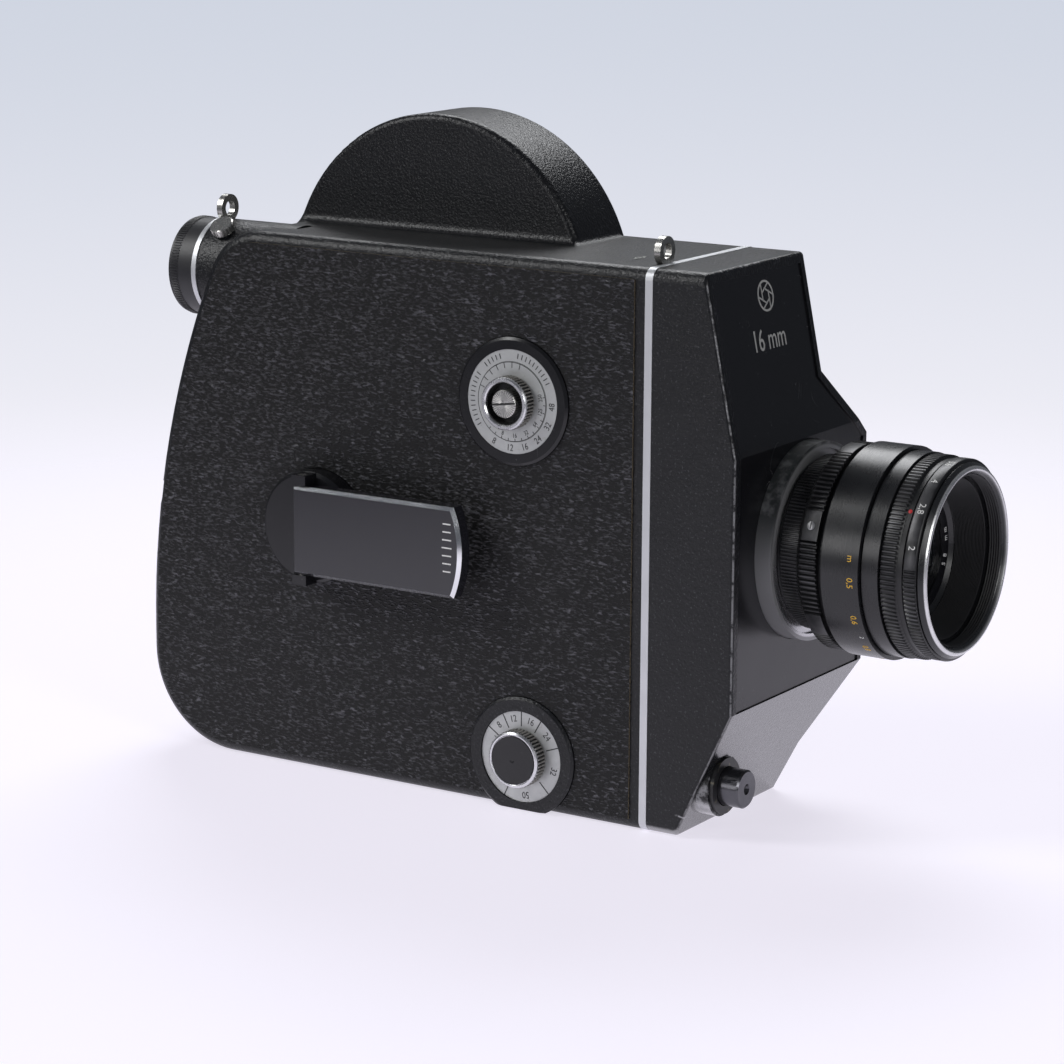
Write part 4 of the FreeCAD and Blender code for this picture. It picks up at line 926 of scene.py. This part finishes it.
class CINE_OT_lens_mount(CinePieceOperator, bpy.types.Operator):
    """Builds the mount ring, worn and painted brighter towards its foot and inner edge as a highlight, the
    serrated base and the depth scale's grip
    """

    bl_idname = "cine.lens_mount"
    bl_label = "Lens mount"

    def execute(self, context):
        finish_nodes(worn_flange_painted_light(), "lens_mount_flange")
        finish_nodes(anodised("ring"), "lens_base")
        finish_nodes(optical_glass("plain"), "rear_glass")
        finish_nodes(matt_black("iris"), "iris_blades")
        front, radius = along_lens("lens_base")[1:]
        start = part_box("lens_mount_flange")[1].x / MM + 1.0
        end = front - 0.3
        inner = radius - 0.1
        tips = radius + 0.35
        teeth = 150
        outline = softened([(start, inner), (end, inner), (end, tips, 0.4), (start, tips, 0.4)], 0.1)
        turned_piece("lens_base_serrations", "camera", ring_knurl(tips),
                     LENS, X, outline, straight_teeth, teeth * 4)
        self.depth_scale()
        return {"FINISHED"}

    def depth_scale(self):
        rear, front, radius = along_lens("depth_scale_ring")
        bore = 22.05
        neck = 2.0
        teeth, patches, land = 120, 6, 0.28
        outline = [
            (rear, bore),
            (front, bore),
            (front, radius - 2),
            (front - neck, radius - 2),
            (front - neck, radius, 0.75),
            (rear + 2.4, radius, 0.75),
            (rear, radius - 3),
        ]
        turned_piece("depth_scale_grip", "camera", ring_knurl(radius), LENS, X,
                     softened(outline), patched_teeth(teeth, patches, land), teeth * 4, ["depth_scale_ring"])
        patch = 360 / patches
        land_angle = math.radians(patch + patch * land / 2)
        place = on_drum(LENS, X, radius, front - neck - 2.5, land_angle)
        work = bmesh.new()
        screw = [(-0.5, 0.0), (-0.5, 1.25), (0.1, 1.25), (0.22, 1.05), (0.22, 0.0)]
        turn(work, *screw_spot(place), screw, None, 32, False)
        add_piece("depth_scale_screw", work, "camera", satin_metal("steel"))
        slot = Marks()
        slot.bar(lambda u, v, w: place(u, v, w + 0.2), -1.0, 1.0, -0.16, 0.16)
        slot.piece("depth_scale_screw_slot", "camera", "steel", "black")


class CINE_OT_focus(CinePieceOperator, bpy.types.Operator):
    """Finishes the focus ring and the plain front barrel, with the distance scale"""

    bl_idname = "cine.focus"
    bl_label = "Focus ring"

    def execute(self, context):
        finish_nodes(anodised("ring"), "focus_ring")
        finish_nodes(anodised("ring"), "lens_head")
        front, radius = along_lens("focus_ring")[1:]
        metre_line = front - 2.6
        foot_line = front - 2.0
        metre_places = (
            ("m", 83), ("0,5", 96), ("0,6", 118), ("0,8", 142), ("1", 162), ("1,5", 196), ("3", 232),
        )
        foot_places = (("2", 131), ("3", 170), ("5", 214), ("10", 246))
        scale = Marks()
        for words, degrees in metre_places:
            scale.letters(words, 1.9, on_drum(LENS, X, radius, metre_line, math.radians(degrees)))
        scale.piece("focus_scale_metres", "focus_control", "black_anodised", "yellow")
        feet = Marks()
        for words, degrees in foot_places:
            feet.letters(words, 1.4, on_drum(LENS, X, radius, foot_line, math.radians(degrees)))
        feet.piece("focus_scale_feet", "focus_control", "black_anodised", "white")
        return {"FINISHED"}


class CINE_OT_iris_rings(CinePieceOperator, bpy.types.Operator):
    """Builds the knurled aperture and preset rings with their figures"""

    bl_idname = "cine.iris_rings"
    bl_label = "Aperture and preset rings"

    def execute(self, context):
        teeth = looks().ring_teeth
        depth = looks().knurl_depth
        rear, front, radius = along_lens("aperture_ring")
        bore = half_height("lens_bezel") / MM - 1.2
        outline = [
            (rear, bore),
            (front, bore),
            (front, radius - 1.0),
            (front - 1.7, radius - 1.0),
            (front - 2.1, radius, depth),
            (rear + 0.5, radius, depth),
            (rear, radius - 0.5),
        ]
        turned_piece("aperture_grip", "aperture_control", ring_knurl(radius), LENS, X,
                     softened(outline), straight_teeth, teeth * 4, ["aperture_ring"])
        place = on_drum(LENS, X, radius - 1.0, front - 0.9, math.radians(52))
        work = bmesh.new()
        dot = [(-0.3, 0.0), (-0.3, 0.6), (0.1, 0.6), (0.2, 0.0)]
        turn(work, *screw_spot(place), dot, None, 24, False)
        add_piece("aperture_dot", work, "aperture_control", marking_paint("red"))
        self.preset(bore)
        return {"FINISHED"}

    def preset(self, bore):
        teeth = looks().ring_teeth
        rear, front, radius = along_lens("preset_ring")
        outline = [
            (rear, bore),
            (front, bore),
            (front, radius - 0.4),
            (front - 0.4, radius, looks().knurl_depth),
            (rear + 0.4, radius, looks().knurl_depth),
            (rear, radius - 0.4),
        ]

        def share(k):
            degrees = k / (teeth * 4) * 360
            smooth = degrees < 84 or 158 < degrees < 186 or degrees > 300
            return 0.0 if smooth else straight_teeth(k)

        turned_piece("preset_grip", "preset_control", ring_knurl(radius), LENS, X,
                     softened(outline), share, teeth * 4, ["preset_ring"])
        stop_places = (("2", 73), ("2,8", 50), ("4", 30), ("5,6", 10), ("8", -10), ("11", -28), ("16", -46))
        stops = Marks()
        for words, degrees in stop_places:
            place = on_drum(LENS, X, radius, (rear + front) / 2, math.radians(degrees))
            stops.letters(words, 2.0, place)
        stops.piece("preset_figures", "preset_control", "black_anodised", "white")


class CINE_OT_lens_front(CinePieceOperator, bpy.types.Operator):
    """Builds the bezel, the ribbed well, the filter thread and the name ring"""

    bl_idname = "cine.lens_front"
    bl_label = "Lens front"

    def execute(self, context):
        rear, front = along_lens("lens_bezel")[:2]
        filter_radius = looks().filter_radius / MM
        outline = [
            (rear, filter_radius + 0.05),
            (front - 1.3, filter_radius + 0.05),
            (front - 0.9, filter_radius + 0.5),
            (front - 0.15, filter_radius + 1.2),
            (front, filter_radius + 1.4),
            (front, filter_radius + 1.9),
            (front - 0.35, filter_radius + 2.25),
            (rear + 0.3, filter_radius + 3.4),
            (rear, filter_radius + 3.2),
        ]
        turned_piece("lens_bezel_cone", "lens_front", bezel_finish(), LENS, X,
                     softened(outline, 0.08), None, 256, ["lens_bezel"])
        self.ribs(rear, filter_radius)
        self.name_ring()
        finish_nodes(optical_glass("front"), "front_glass")
        return {"FINISHED"}

    def ribs(self, bezel_rear, filter_radius):
        """Fine steps that darken the well, and the thread for a filter."""
        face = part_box("name_ring")[1].x / MM
        name_radius = half_height("name_ring") / MM
        thread_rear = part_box("lens_bezel")[1].x / MM - 5.6
        start = (face + 1.3, name_radius + 1.5)
        end = (thread_rear, filter_radius - 1.5)
        count = 22
        inner = []
        for k in range(count):
            for part, lift in ((0.0, 0.08), (0.5, 0.42)):
                share = (k + part) / count
                distance = start[0] + (end[0] - start[0]) * share
                radius = start[1] + (end[1] - start[1]) * share
                inner.append((distance, radius - lift))
        outer = [(end[0], end[1] + 0.02), (start[0], start[1] + 0.02)]
        turned_piece("well_ribs", "lens_front", matt_black("well"),
                     LENS, X, inner + outer, None, 160)
        pitch = 0.75
        turns = int((bezel_rear + 0.9 - thread_rear - 0.4) / pitch)
        inner = []
        for k in range(turns):
            base = thread_rear + 0.4 + k * pitch
            inner += [(base, filter_radius - 0.02), (base + pitch / 2, filter_radius - 0.4)]
        inner.append((thread_rear + 0.4 + turns * pitch, filter_radius - 0.02))
        outer = [(inner[-1][0], filter_radius + 0.03), (inner[0][0], filter_radius + 0.03)]
        turned_piece("filter_thread_ribs", "lens_front", matt_black("thread"),
                     LENS, X, inner + outer, None, 160)

    def name_ring(self):
        finish_nodes(gloss_enamel("name_ring"), "name_ring")
        front, outer = along_lens("name_ring")[1:]
        glass = half_height("front_glass") / MM + 0.3
        figures = Marks()
        radius = (outer + glass) / 2
        slope_rise = 0.6
        level = front - slope_rise / 2

        def figure_place(degrees):
            """On the sloping ring, tops towards the glass, read down the near side."""
            angle = math.radians(degrees)
            first, second = side_vectors(X)
            out = first * math.cos(angle) + second * math.sin(angle)
            along_ring = second * math.cos(angle) - first * math.sin(angle)
            inward = (-out * (outer - glass) - X * slope_rise).normalized()
            spot = LENS + X * (level + 0.05) * MM + out * radius * MM
            return on_plane(spot, along_ring, inward)

        for words, start in (("2/58", 72), ("58 mm", 250)):
            for k, letter in enumerate(words):
                if letter != " ":
                    figures.letters(letter, 1.55, figure_place(start + 9 * k))
        for k in range(9):
            figures.bar(figure_place(122 + 4 * k), -0.12, 0.12, -0.7, 0.7)
        figures.piece("name_ring_figures", "lens_front", "gloss_black", "white")


# ---- Dials ---------------------------------------------------------------------------------


class CINE_OT_exposure_dial(CinePieceOperator, bpy.types.Operator):
    """Builds the exposure dial: scales, ridged knob and slotted screw"""

    bl_idname = "cine.exposure_dial"
    bl_label = "Exposure dial"

    def execute(self, context):
        finish_nodes(gloss_enamel("dial"), "exposure_surround")
        finish_nodes(dial_metal("exposure"), "exposure_scale_ring", "exposure_disc")
        ring_top = stands_out("exposure_scale_ring")
        disc_top = stands_out("exposure_disc")
        outer = half_height("exposure_scale_ring") / MM
        inner = half_height("exposure_disc") / MM
        knob = half_height("exposure_knob") / MM
        middle_radius = (outer + inner) / 2 + 0.1
        figures = Marks()
        for words, degrees in (("8", 207), ("12", 183), ("16", 161), ("24", 139), ("32", 116), ("48", 91)):
            place = on_dial(EXPOSURE_DIAL, ring_top, middle_radius, math.radians(degrees), True)
            figures.letters(words, 2.0, place, narrow=0.85)
        for first, last in ((236, 306), (318, 345), (8, 66)):
            for degrees in range(first, last, 6):
                place = on_dial(EXPOSURE_DIAL, ring_top, middle_radius, math.radians(degrees))
                figures.bar(place, -0.14, 0.14, -0.75, 0.75)
        figures.piece("exposure_scale_figures", "camera", "bright_aluminium", "black")
        turning = Marks()
        film_speeds = ("250", "125", "64", "32", "16", "8")
        for k, words in enumerate(film_speeds):
            angle = math.radians(78 + 24 * k)
            place = on_dial(EXPOSURE_DIAL, disc_top, (inner + knob) / 2 + 0.15, angle, True)
            turning.letters(words, 1.35, place, narrow=0.8)
        for k in range(13):
            place = on_dial(EXPOSURE_DIAL, disc_top, inner - 0.5, math.radians(78 + 12 * k))
            turning.bar(place, -0.1, 0.1, -0.45, 0.45)
        for k in range(7):
            place = on_dial(EXPOSURE_DIAL, disc_top, inner - 0.9, math.radians(290 + 14 * k))
            turning.bar(place, -0.1, 0.1, -0.85, 0.85)
        whole = on_plane(EXPOSURE_DIAL + NEAR * disc_top * MM, X, Z)
        turning.hoop(whole, inner - 0.22, inner - 0.04, 96, 0.03)
        turning.piece("exposure_disc_figures", "exposure_control", "black_anodised", "black")
        self.knob(knob, disc_top)
        return {"FINISHED"}

    def knob(self, radius, disc_top):
        top = stands_out("exposure_knob")
        recess = radius - 1.6
        floor = disc_top + 0.6
        teeth = 46
        outline = [
            (disc_top, recess - 0.2),
            (floor, recess - 0.2),
            (floor, recess),
            (top - 0.4, recess),
            (top, recess + 0.35),
            (top, radius - 0.55),
            (top - 0.35, radius - 0.2),
            (top - 0.9, radius - 0.15),
            (top - 1.2, radius, 0.6),
            (disc_top + 0.2, radius, 0.6),
            (disc_top, radius - 0.3),
        ]
        work = bmesh.new()
        turn(work, EXPOSURE_DIAL, NEAR, outline, straight_teeth, teeth * 4)
        plug = [(disc_top, 0.0), (floor, 0.0), (floor, recess - 0.1), (disc_top, recess - 0.1)]
        turn(work, EXPOSURE_DIAL, NEAR, plug, None, 64, False)
        add_piece("exposure_knob_ridged", work, "exposure_control",
                  knob_finish("exposure"), ["exposure_knob"])
        screw = half_height("exposure_screw") / MM
        screw_top = stands_out("exposure_screw")
        bevel = 0.3
        outline = [
            (disc_top, 0.0),
            (disc_top, screw),
            (screw_top - bevel, screw),
            (screw_top, screw - bevel),
            (screw_top, 0.0),
        ]
        work = bmesh.new()
        turn(work, EXPOSURE_DIAL, NEAR, outline, None, 96, False)
        add_piece("exposure_screw_head", work, "exposure_control", sunburst(), ["exposure_screw"])
        slot = Marks()
        lean = math.radians(8)
        right = X * math.cos(lean) + Z * math.sin(lean)
        up = -X * math.sin(lean) + Z * math.cos(lean)
        face = EXPOSURE_DIAL + NEAR * screw_top * MM
        slot.bar(on_plane(face, right, up), -screw + 0.15, screw - 0.15, -0.3, 0.3, 0.03)
        slot.piece("exposure_screw_slot", "exposure_control", "nickel", "black")


class CINE_OT_speed_dial(CinePieceOperator, bpy.types.Operator):
    """Builds the frame rate dial: scale, knurled knob and cap"""

    bl_idname = "cine.speed_dial"
    bl_label = "Speed dial"

    def execute(self, context):
        finish_nodes(castings_paint("shell"), "speed_surround")
        finish_nodes(dial_metal("speed"), "speed_disc")
        finish_nodes(gloss_enamel("cap"), "speed_cap")
        top = stands_out("speed_disc")
        low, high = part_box("speed_disc")
        outer = (high.x - low.x) / 2 / MM
        knob = half_height("speed_knob") / MM
        figures = Marks()
        track = (outer + knob) / 2 + 0.3
        for words, degrees in (("8", -42), ("12", -14), ("16", 16), ("24", 50), ("32", 104), ("50", 172)):
            place = on_dial(SPEED_DIAL, top, track, math.radians(degrees))
            figures.letters(words, 2.1, place, narrow=0.85)
        for degrees in (-56, -28, 0, 30, 70, 136, 205):
            place = on_dial(SPEED_DIAL, top, track, math.radians(degrees))
            figures.bar(place, -0.16, 0.16, -2.2, 2.2)
        for degrees in range(-110, -60, 12):
            place = on_dial(SPEED_DIAL, top, knob + 1.4, math.radians(degrees))
            figures.bar(place, -0.1, 0.1, -0.6, 0.6)
        figures.piece("speed_figures", "camera", "bright_aluminium", "black")
        knob_top = stands_out("speed_knob")
        low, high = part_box("speed_cap")
        cap = (high.x - low.x) / 2 / MM
        teeth = 48
        outline = [
            (top + 0.1, cap - 0.6),
            (knob_top - 0.5, cap - 0.6),
            (knob_top - 0.5, cap + 0.05),
            (knob_top - 0.2, cap + 0.1),
            (knob_top, cap + 0.3),
            (knob_top, knob - 0.7),
            (knob_top - 0.4, knob - 0.25),
            (knob_top - 0.8, knob - 0.2),
            (knob_top - 1.1, knob, 0.55),
            (top + 0.3, knob, 0.55),
            (top + 0.1, knob - 0.3),
        ]
        turned_piece("speed_knob_ridged", "speed_control", knob_finish("speed"),
                     SPEED_DIAL, NEAR, outline, straight_teeth, teeth * 4, ["speed_knob"])
        return {"FINISHED"}


# ---- Controls ------------------------------------------------------------------------------


class CINE_OT_winder(CinePieceOperator, bpy.types.Operator):
    """Finishes the folding winding crank"""

    bl_idname = "cine.winder"
    bl_label = "Winding crank"

    def execute(self, context):
        finish_nodes(paddle_enamel(), "crank_paddle")
        finish_nodes(gloss_enamel("hub"), "crank_hub")
        finish_nodes(satin_metal("nickel"), "crank_hinge_pin")
        low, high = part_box("crank_paddle")
        ticks = Marks()
        place = on_plane(Vector((high.x - 4.6 * MM, low.y, WINDER.z + 1.5 * MM)), X, Z)
        count, pitch = 7, 2.35
        for k in range(count):
            from_middle = k - (count - 1) / 2
            height = from_middle * pitch
            reach = 1.7 - 0.12 * abs(from_middle)
            ticks.bar(place, -reach, reach, height - 0.2, height + 0.2, 0.06)
        ticks.piece("crank_ticks", "crank", "gloss_black", "white")
        return {"FINISHED"}


class CINE_OT_release(CinePieceOperator, bpy.types.Operator):
    """Finishes the release button and its collar"""

    bl_idname = "cine.release"
    bl_label = "Release button"

    def execute(self, context):
        finish_nodes(dark_chrome(), "release_button")
        finish_nodes(brassed_collar(), "release_collar")
        finish_nodes(satin_metal("steel"), "release_spring")
        return {"FINISHED"}


class CINE_OT_finder(CinePieceOperator, bpy.types.Operator):
    """Builds the eyecup's fine edge, the clamp screw's knurl and the strap eyes"""

    bl_idname = "cine.finder"
    bl_label = "Finder and strap eyes"

    def execute(self, context):
        finish_nodes(strip_metal(), "eyepiece_ring")
        finish_nodes(rubber(), "eyecup")
        finish_nodes(optical_glass("plain"), "ocular_lens", "finder_prism", "ground_glass")
        finish_nodes(matt_black("tube"), "relay_tube")
        finish_nodes(satin_metal("nickel"), "strap_eye_front", "strap_eye_rear", "clamp_screw")
        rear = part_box("eyecup")[0].x / MM
        radius = half_height("eyecup") / MM
        teeth = 110
        outline = [
            (rear + 0.4, radius - 0.6),
            (rear + 3.6, radius - 0.6),
            (rear + 3.4, radius + 0.25, 0.3),
            (rear + 0.9, radius + 0.35, 0.3),
        ]
        turned_piece("eyecup_edge", "eyepiece", rubber(),
                     FINDER, X, softened(outline, 0.15), straight_teeth, teeth * 4)
        self.clamp()
        return {"FINISHED"}

    def clamp(self):
        """The small nickel thumbscrew in front of the rear eye."""
        joint = next(j for j in frame["joints"] if j["name"] == "clamp_turn")
        along = Vector(joint["axis"])
        pivot = Vector(joint["pos_m"])
        spots = [vertex.co - pivot for vertex in frame["nodes"]["clamp_screw"].data.vertices]
        top = max(spot.dot(along) for spot in spots) / MM
        radius = max((spot - along * spot.dot(along)).length for spot in spots) / MM
        teeth = 22
        outline = [
            (top - 2.6, radius - 1.2),
            (top - 2.6, radius - 0.1),
            (top - 2.3, radius + 0.15, 0.4),
            (top - 0.5, radius + 0.15, 0.4),
            (top - 0.1, radius - 0.35),
            (top - 0.1, radius - 1.2),
        ]
        turned_piece("clamp_screw_knurl", "clamp", satin_metal("nickel"),
                     pivot, along, outline, straight_teeth, teeth * 4)


class CINE_OT_door_latch(CinePieceOperator, bpy.types.Operator):
    """Builds the grip of the door's turn latch"""

    bl_idname = "cine.door_latch"
    bl_label = "Door latch"

    def execute(self, context):
        finish_nodes(gloss_enamel("latch"), "door_latch")
        finish_nodes(satin_metal("steel"), "latch_tongue")
        low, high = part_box("door_latch")
        radius = (high.x - low.x) / 2 / MM
        inner = radius - 0.9
        tips = radius + 0.2
        teeth = 36
        outline = [(-3.4, inner), (-0.8, inner), (-0.8, tips, 0.45), (-3.2, tips, 0.45)]
        turned_piece("door_latch_knurl", "latch", anodised("dial"),
                     LATCH, Y, softened(outline, 0.15), straight_teeth, teeth * 4)
        marks = Marks()
        place = on_plane(LATCH + Y * 0.01 * MM, -X, Z)
        marks.bar(place, -0.3, 0.3, radius * 0.3, radius * 0.8)
        marks.piece("door_latch_mark", "latch", "black_anodised", "white")
        return {"FINISHED"}


class CINE_OT_film_drive(CinePieceOperator, bpy.types.Operator):
    """Finishes the spring motor, spools, gate and shutter behind the door"""

    bl_idname = "cine.film_drive"
    bl_label = "Film drive"

    def execute(self, context):
        finish_nodes(satin_metal("nickel"), "gate_plate", "pressure_plate")
        finish_nodes(satin_metal("steel"), "winding_arbor", "mainspring", "film_sprocket")
        finish_nodes(satin_metal("steel"), "supply_spindle", "takeup_spindle")
        finish_nodes(satin_metal("brass"), "spring_wheel", "sprocket_pinion")
        finish_nodes(satin_metal("plate"), "spring_barrel")
        finish_nodes(gloss_enamel("spool"), "takeup_spool")
        finish_nodes(mirror_silver(), "mirror_shutter")
        return {"FINISHED"}


# ---- Stage ---------------------------------------------------------------------------------


class CINE_OT_stage(CinePieceOperator, bpy.types.Operator):
    """Lays the pale floor, hangs the soft lights and sets the camera"""

    bl_idname = "cine.stage"
    bl_label = "Stage"

    def execute(self, context):
        self.floor(context)
        self.lights(context)
        self.camera(context)
        return {"FINISHED"}

    def floor(self, context):
        """A round level sheet whose rim fades into the pale surroundings."""
        steps = 96
        work = bmesh.new()
        under = Z * (CAD_BOX[0][2] - 0.05 * MM)
        rim = []
        for k in range(steps):
            angle = 2 * math.pi * k / steps
            rim.append(work.verts.new(under + (X * math.cos(angle) + Y * math.sin(angle)) * FLOOR_RIM))
        work.faces.new(rim)
        mesh = bpy.data.meshes.new("floor")
        work.to_mesh(mesh)
        work.free()
        mesh.materials.append(self.floor_finish())
        sheet = bpy.data.objects.new("floor", mesh)
        context.scene.collection.objects.link(sheet)

    def floor_finish(self):
        f = Finish("floor_paper")
        away = (f.x * f.x + f.y * f.y).root()
        shown = away.rise(FLOOR_RIM * 0.98, FLOOR_RIM * 0.3)
        glow = solid(looks().floor)
        paper = solid(looks().floor, 0.5)
        return f.done(
            base_color=paper,
            roughness=0.6,
            emission_color=glow,
            emission_strength=0.82,
            alpha=shown,
        )

    def lights(self, context):
        world = bpy.data.worlds.new("studio")
        context.scene.world = world
        context.scene.view_settings.view_transform = "Standard"
        world.use_nodes = True
        tree = world.node_tree
        tree.nodes.clear()
        direction = tree.nodes.new("ShaderNodeTexCoord")
        parts = tree.nodes.new("ShaderNodeSeparateXYZ")
        fall = tree.nodes.new("ShaderNodeMapRange")
        fall.interpolation_type = "SMOOTHSTEP"
        fall.inputs["From Min"].default_value = -0.04
        fall.inputs["From Max"].default_value = -0.26
        tint = tree.nodes.new("ShaderNodeMix")
        tint.data_type = "RGBA"
        tint.inputs[6].default_value = (0.62, 0.66, 0.75, 1)
        tint.inputs[7].default_value = (0.94, 0.92, 0.98, 1)
        pale = tree.nodes.new("ShaderNodeBackground")
        dim = tree.nodes.new("ShaderNodeBackground")
        dim.inputs["Color"].default_value = (0.8, 0.86, 1.0, 1)
        dim.inputs["Strength"].default_value = 0.1
        seen = tree.nodes.new("ShaderNodeLightPath")
        either = tree.nodes.new("ShaderNodeMixShader")
        out = tree.nodes.new("ShaderNodeOutputWorld")
        for source, target in (
            (direction.outputs["Generated"], parts.inputs[0]),
            (parts.outputs["Z"], fall.inputs["Value"]),
            (fall.outputs[0], tint.inputs[0]),
            (tint.outputs[2], pale.inputs["Color"]),
            (seen.outputs["Is Camera Ray"], either.inputs[0]),
            (dim.outputs[0], either.inputs[1]),
            (pale.outputs[0], either.inputs[2]),
            (either.outputs[0], out.inputs["Surface"]),
        ):
            tree.links.new(source, target)
        lamps = (
            ("softbox_left", (-0.95, -0.75, 1.0), 0.45, 0.7, 9.0, (1, 1, 1)),
            ("softbox_above", (-0.35, 0.75, 0.95), 0.9, 0.5, 8.0, (0.97, 0.98, 1)),
            ("softbox_right", (1.15, -0.55, 0.55), 0.35, 0.6, 4.0, (1, 1, 1)),
            ("fill_front", (-0.35, -1.1, 0.35), 0.25, 0.4, 1.5, (1, 0.99, 1)),
        )
        for name, place, width, height, power, colour in lamps:
            lamp = bpy.data.lights.new(name, "AREA")
            lamp.shape = "RECTANGLE"
            lamp.size = width
            lamp.size_y = height
            lamp.energy = power
            lamp.color = colour
            holder = bpy.data.objects.new(name, lamp)
            holder.location = place
            aim = Vector((0.0, 0.0, 0.09)) - Vector(place)
            holder.rotation_euler = aim.to_track_quat("-Z", "Y").to_euler()
            context.scene.collection.objects.link(holder)

    def camera(self, context):
        view = bpy.data.cameras.new("view")
        view.sensor_width = 36.0
        view.lens = 117.14
        view.clip_end = 20.0
        heading = Vector((-math.sin(VIEW_YAW), math.cos(VIEW_YAW), 0))
        forward = heading * math.cos(VIEW_PITCH) - Z * math.sin(VIEW_PITCH)
        level = Vector((math.cos(VIEW_YAW), math.sin(VIEW_YAW), 0))
        upward = level.cross(forward)
        right = level * math.cos(VIEW_ROLL) + upward * math.sin(VIEW_ROLL)
        up = upward * math.cos(VIEW_ROLL) - level * math.sin(VIEW_ROLL)
        holder = bpy.data.objects.new("view", view)
        turned = Matrix((right, up, -forward)).transposed()
        holder.matrix_world = Matrix.Translation(VIEW_FROM) @ turned.to_4x4()
        context.scene.collection.objects.link(holder)
        context.scene.camera = holder


# ---- Panel and registration ----------------------------------------------------------------

STEPS = (
    CINE_OT_castings,
    CINE_OT_leatherette,
    CINE_OT_front_plate,
    CINE_OT_lens_mount,
    CINE_OT_focus,
    CINE_OT_iris_rings,
    CINE_OT_lens_front,
    CINE_OT_exposure_dial,
    CINE_OT_speed_dial,
    CINE_OT_winder,
    CINE_OT_release,
    CINE_OT_finder,
    CINE_OT_door_latch,
    CINE_OT_film_drive,
    CINE_OT_stage,
)


class CINE_PT_pieces(bpy.types.Panel):
    """Lists the camera's pieces in the sidebar"""

    bl_idname = "CINE_PT_pieces"
    bl_label = "Cine camera"
    bl_space_type = "VIEW_3D"
    bl_region_type = "UI"
    bl_category = "Cine camera"

    def draw(self, context):
        column = self.layout.column()
        for step in STEPS:
            column.operator(step.bl_idname, text=step.bl_label)


CLASSES = (CineCameraLooks,) + STEPS + (CINE_PT_pieces,)


def register():
    for each in CLASSES:
        bpy.utils.register_class(each)
    bpy.types.Scene.cine_camera_looks = PointerProperty(type=CineCameraLooks)


def unregister():
    del bpy.types.Scene.cine_camera_looks
    for each in reversed(CLASSES):
        bpy.utils.unregister_class(each)


def main():
    register()
    for step in STEPS:
        group, name = step.bl_idname.split(".")
        getattr(getattr(bpy.ops, group), name)()


if __name__ == "__main__":
    main()
